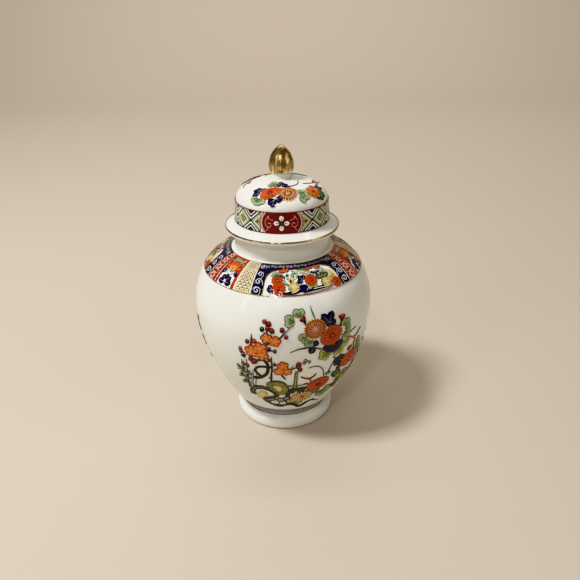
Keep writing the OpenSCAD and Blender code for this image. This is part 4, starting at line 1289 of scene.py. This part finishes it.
lay_painting("lid_band", band, LID_REPEATS, "cover")

# The lid's sprays, painted twice on the dome: two chrysanthemums with cobalt and green leaves, and a
# smaller peach flower that follows them round.
spray = Painting(lid_skin)
for turn, height, leaves in ((-36, 197.2, ((1, 0, -95, 6.4, 4.4), (1, 0.4, -60, 5.2, 3.8),
        (1, -1, -135, 6.0, 4.4), (1, 0.6, 62, 8.0, 3.4), (1, 0.8, 20, 4.0, 3.2))), (1, 199.9,
        ((0, 0.2, -60, 5.0, 4.6), (0, 0, -8, 6.4, 4.8), (0, -0.2, 60, 5.0, 4.4), (0, -0.4, 105, 6.4, 2.6))),
        (-9.5, 194.6, ((1.0, -0.4, -125, 6.2, 5.0), (0.6, -0.6, -160, 5.8, 4.6), (1.0, 0, 80, 5.8, 4.6),
        (1.0, 0, 115, 4.4, 3.6)))):
    leaf_spray(Brush(spray, turn, height), leaves, *COBALT_LEAF, rim=0.1)
for turn, height, fill, leaves in ((-19, 199.8, "leaf_green", ((0, 0, -70, 4.4, 4.2),
        (0, 0.4, -12, 6.6, 4.4), (0, 0, 45, 5.6, 4.2))), (-31, 193.4, "leaf_green",
        ((0, 0.6, -105, 6.0, 4.6), (0, 0.6, -155, 4.8, 4.4), (0, 0.6, 110, 6.0, 4.6),
        (0, 0.6, 160, 4.6, 4.2))), (28, 196.0, "leaf_green", ((0, 0, 20, 5.0, 4.2), (0, 0, 72, 7.0, 5.0),
        (0, 0, 120, 7.2, 5.0), (0, 0, 172, 6.6, 4.6))), (60, 192.8, "dark_green", ((0, 0, -95, 5.0, 4.0),
        (0, 0, 95, 5.6, 4.4), (0, 0, 175, 3.6, 3.4), (0, 0.4, 50, 5.4, 4.0)))):
    leaf_spray(Brush(spray, turn, height), leaves, fill, "dark_green" if fill == "leaf_green"
        else "outline_black", "dark_green" if fill == "leaf_green" else "leaf_green", rim=0.4)
spray.line("outline_black", [(4, 199.7), (16, 199.8), (30, 199.8), (48, 200.2), (66, 200.8)], 0.7, coat=0,
    taper=(1.0, 0.3))
flower_head(Brush(spray, 10, 197.2, lean=8), 7.6, "rust_enamel", "sun_yellow", "iron_red", petals=18,
    squash=0.92, gap=0.24)
flower_head(Brush(spray, -17.5, 197.4, lean=40), 8.2, "iron_red", "rust_enamel", "deep_red", petals=17,
    squash=0.66, coat=2, gap=0.36)
leaf_spray(Brush(spray, 66, 196.0), [(0, 0, 60, 5.4, 3.0), (0, 0, 105, 6.0, 3.0)], "cobalt_blue",
    "cobalt_blue", "pink_line", rim=0.1)
spray.line("aubergine", [(58, 198.4), (64, 197.4), (70, 196.2), (78, 195)], 1.0, coat=2, taper=(0.4, 1.0))
spray.line("outline_black", [(56, 199.6), (66, 199.2), (78, 198.4), (92, 198.0)], 0.6, coat=0,
    taper=(0.4, 0.3))
flower_head(Brush(spray, 52, 195.8), 6.2, "coral_enamel", "rust_enamel", "dark_green", petals=15,
    squash=0.88, coat=1, gap=0.2, open_ring=0.26)
sprig = Brush(spray, 92, 197.4)
for way, length in ((-40, 4.4), (-95, 5.4), (40, 3.6)):
    sprig.petal("rust_enamel", (0, 0), way, length, 1.9, coat=1)
    sprig.petal("pink_line", (0, 0), way, length * 0.7, 1.0, coat=3)
spray.line("rust_enamel", [(92, 197.2), (97, 196.2), (105, 195.6)], 0.7, coat=0, taper=(1.0, 0.3))
lay_painting("lid_spray", spray, LID_REPEATS, "cover")

# The gold line on the edge of the brim, drawn with a loaded brush while the lid turns on a wheel.
brim = Painting(lid_skin)
brim_run = lid_skin.run(JAR_HEIGHT + 3.0)
brim.field("gold_lustre", 0, 360, brim_run - 0.42, brim_run + 0.42, coat=0, columns=240, lines=2)
lay_painting("brim_line", brim, 1, "cover")
bpy.data.objects.remove(lid_skin.curve)

# The finial: a bud, moulded by itself, stuck on the stem with slip and covered with bright gold.
bud_low, bud_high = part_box("finial")
BUD_RADIUS, BUD_FOOT, BUD_TIP = bud_high.x / MM, bud_low.z / MM, bud_high.z / MM
BUD_HEIGHT = BUD_TIP - BUD_FOOT
BUD_BELLY = BUD_FOOT + 0.26 * BUD_HEIGHT
bud_outline = joined([(0, BUD_FOOT), (4, BUD_FOOT), (STEM_RADIUS, BUD_FOOT)],
    sweep((STEM_RADIUS + 0.4, BUD_FOOT), (BUD_RADIUS - 0.4, BUD_FOOT),
    (BUD_RADIUS, BUD_FOOT + 0.12 * BUD_HEIGHT), (BUD_RADIUS, BUD_BELLY), 18), sweep((BUD_RADIUS, BUD_BELLY),
    (BUD_RADIUS, BUD_BELLY + 0.26 * BUD_HEIGHT), (0.63 * BUD_RADIUS, BUD_FOOT + 0.87 * BUD_HEIGHT),
    (0.5, BUD_TIP - 0.28), 44), sweep((0.5, BUD_TIP - 0.28), (0.36, BUD_TIP - 0.1), (0.18, BUD_TIP - 0.02),
    (0, BUD_TIP - 0.02), 5))
bud = turned_piece("finial_gold", bud_outline, 128, palette["gold_lustre"])
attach(bud, "cover")
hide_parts("finial")

# The studio: a plain pale floor that curves up behind. A strong soft light stands high on the left, a weak
# wide one on the right, a small one in front and a wide one over the backdrop, and two narrow strips put
# streaks on the gold. The camera looks down from in front.
STUDIO_WIDTH, STUDIO_DEPTH, STUDIO_BEND = 5.0, 1.6, 0.8
floor_rows = [(-2.4, 0.0), (0.0, 0.0), (STUDIO_DEPTH, 0.0)]
for i in range(1, 13):
    angle = math.pi / 2 * i / 12
    floor_rows.append((STUDIO_DEPTH + STUDIO_BEND * math.sin(angle), STUDIO_BEND * (1 - math.cos(angle))))
floor_rows.append((STUDIO_DEPTH + STUDIO_BEND, 3.4))
floor_mesh = bpy.data.meshes.new("studio_floor")
floor_mesh.from_pydata([(side * STUDIO_WIDTH / 2, y, z) for y, z in floor_rows for side in (-1, 1)],
                       [], [(2 * i, 2 * i + 1, 2 * i + 3, 2 * i + 2) for i in range(len(floor_rows) - 1)])
for face in floor_mesh.polygons:
    face.use_smooth = True
floor = bpy.data.objects.new("studio_floor", floor_mesh)
bpy.context.scene.collection.objects.link(floor)
paper, _, paper_surface = new_material("studio_paper")
paper_surface.inputs["Base Color"].default_value = linear("#cbc1b2")
paper_surface.inputs["Roughness"].default_value = 0.7
floor_mesh.materials.append(paper)


def soft_light(name, place, aim, width, height, power, colour, mirrored=True):
    """A rectangular soft light that faces one point. One that isn't mirrored leaves no glint on the glaze."""
    lamp = bpy.data.lights.new(name, "AREA")
    lamp.shape = "RECTANGLE"
    lamp.size, lamp.size_y = width, height
    lamp.energy = power
    lamp.color = linear(colour)[:3]
    holder = bpy.data.objects.new(name, lamp)
    holder.location = place
    holder.rotation_euler = (Vector(aim) - Vector(place)).to_track_quat("-Z", "Y").to_euler()
    holder.visible_glossy = mirrored
    bpy.context.scene.collection.objects.link(holder)


soft_light("key_light", (-0.74, -0.30, 1.45), (0, 0, 0.12), 0.26, 0.26, 21.2, "#fbfdff", mirrored=False)
soft_light("fill_light", (1.2, -0.5, 0.7), (0, 0, 0.1), 0.8, 0.8, 2.2, "#fff3e4")
soft_light("front_light", (-0.202, -0.809, 0.912), (0, 0, 0.12), 0.10, 0.07, 1.6, "#ffffff")
soft_light("backdrop_light", (0, 0.8, 2.4), (0, 2.4, 1.5), 2.4, 0.8, 46.0, "#fffbf6")
soft_light("left_strip", (-0.90, -0.75, 0.65), (0, 0, 0.2), 0.14, 0.9, 1.7, "#fff6e8")
soft_light("front_strip", (-0.12, -1.15, 0.95), (0, 0, 0.2), 0.07, 0.7, 0.5, "#fff6e8")
world = bpy.data.worlds.new("studio_air")
world.use_nodes = True
world.node_tree.nodes["Background"].inputs["Color"].default_value = linear("#efe4d6")
world.node_tree.nodes["Background"].inputs["Strength"].default_value = 0.24
bpy.context.scene.world = world
bpy.context.scene.view_settings.view_transform = "Khronos PBR Neutral"

CAMERA_PLACE = (0.0054, -0.4091, 0.3179)
CAMERA_DIP = 27.06
CAMERA_LEAN = -0.61
SENSOR_WIDTH = 36
LENS_LENGTH = 35.37
lens = bpy.data.cameras.new("camera")
lens.sensor_width = SENSOR_WIDTH
lens.lens = LENS_LENGTH
lens.clip_start = 0.01
camera = bpy.data.objects.new("camera", lens)
camera.location = CAMERA_PLACE
camera.rotation_euler = (Matrix.Rotation(math.radians(90 - CAMERA_DIP), 3, "X")
                         @ Matrix.Rotation(math.radians(CAMERA_LEAN), 3, "Z")).to_euler()
bpy.context.scene.collection.objects.link(camera)
bpy.context.scene.camera = camera
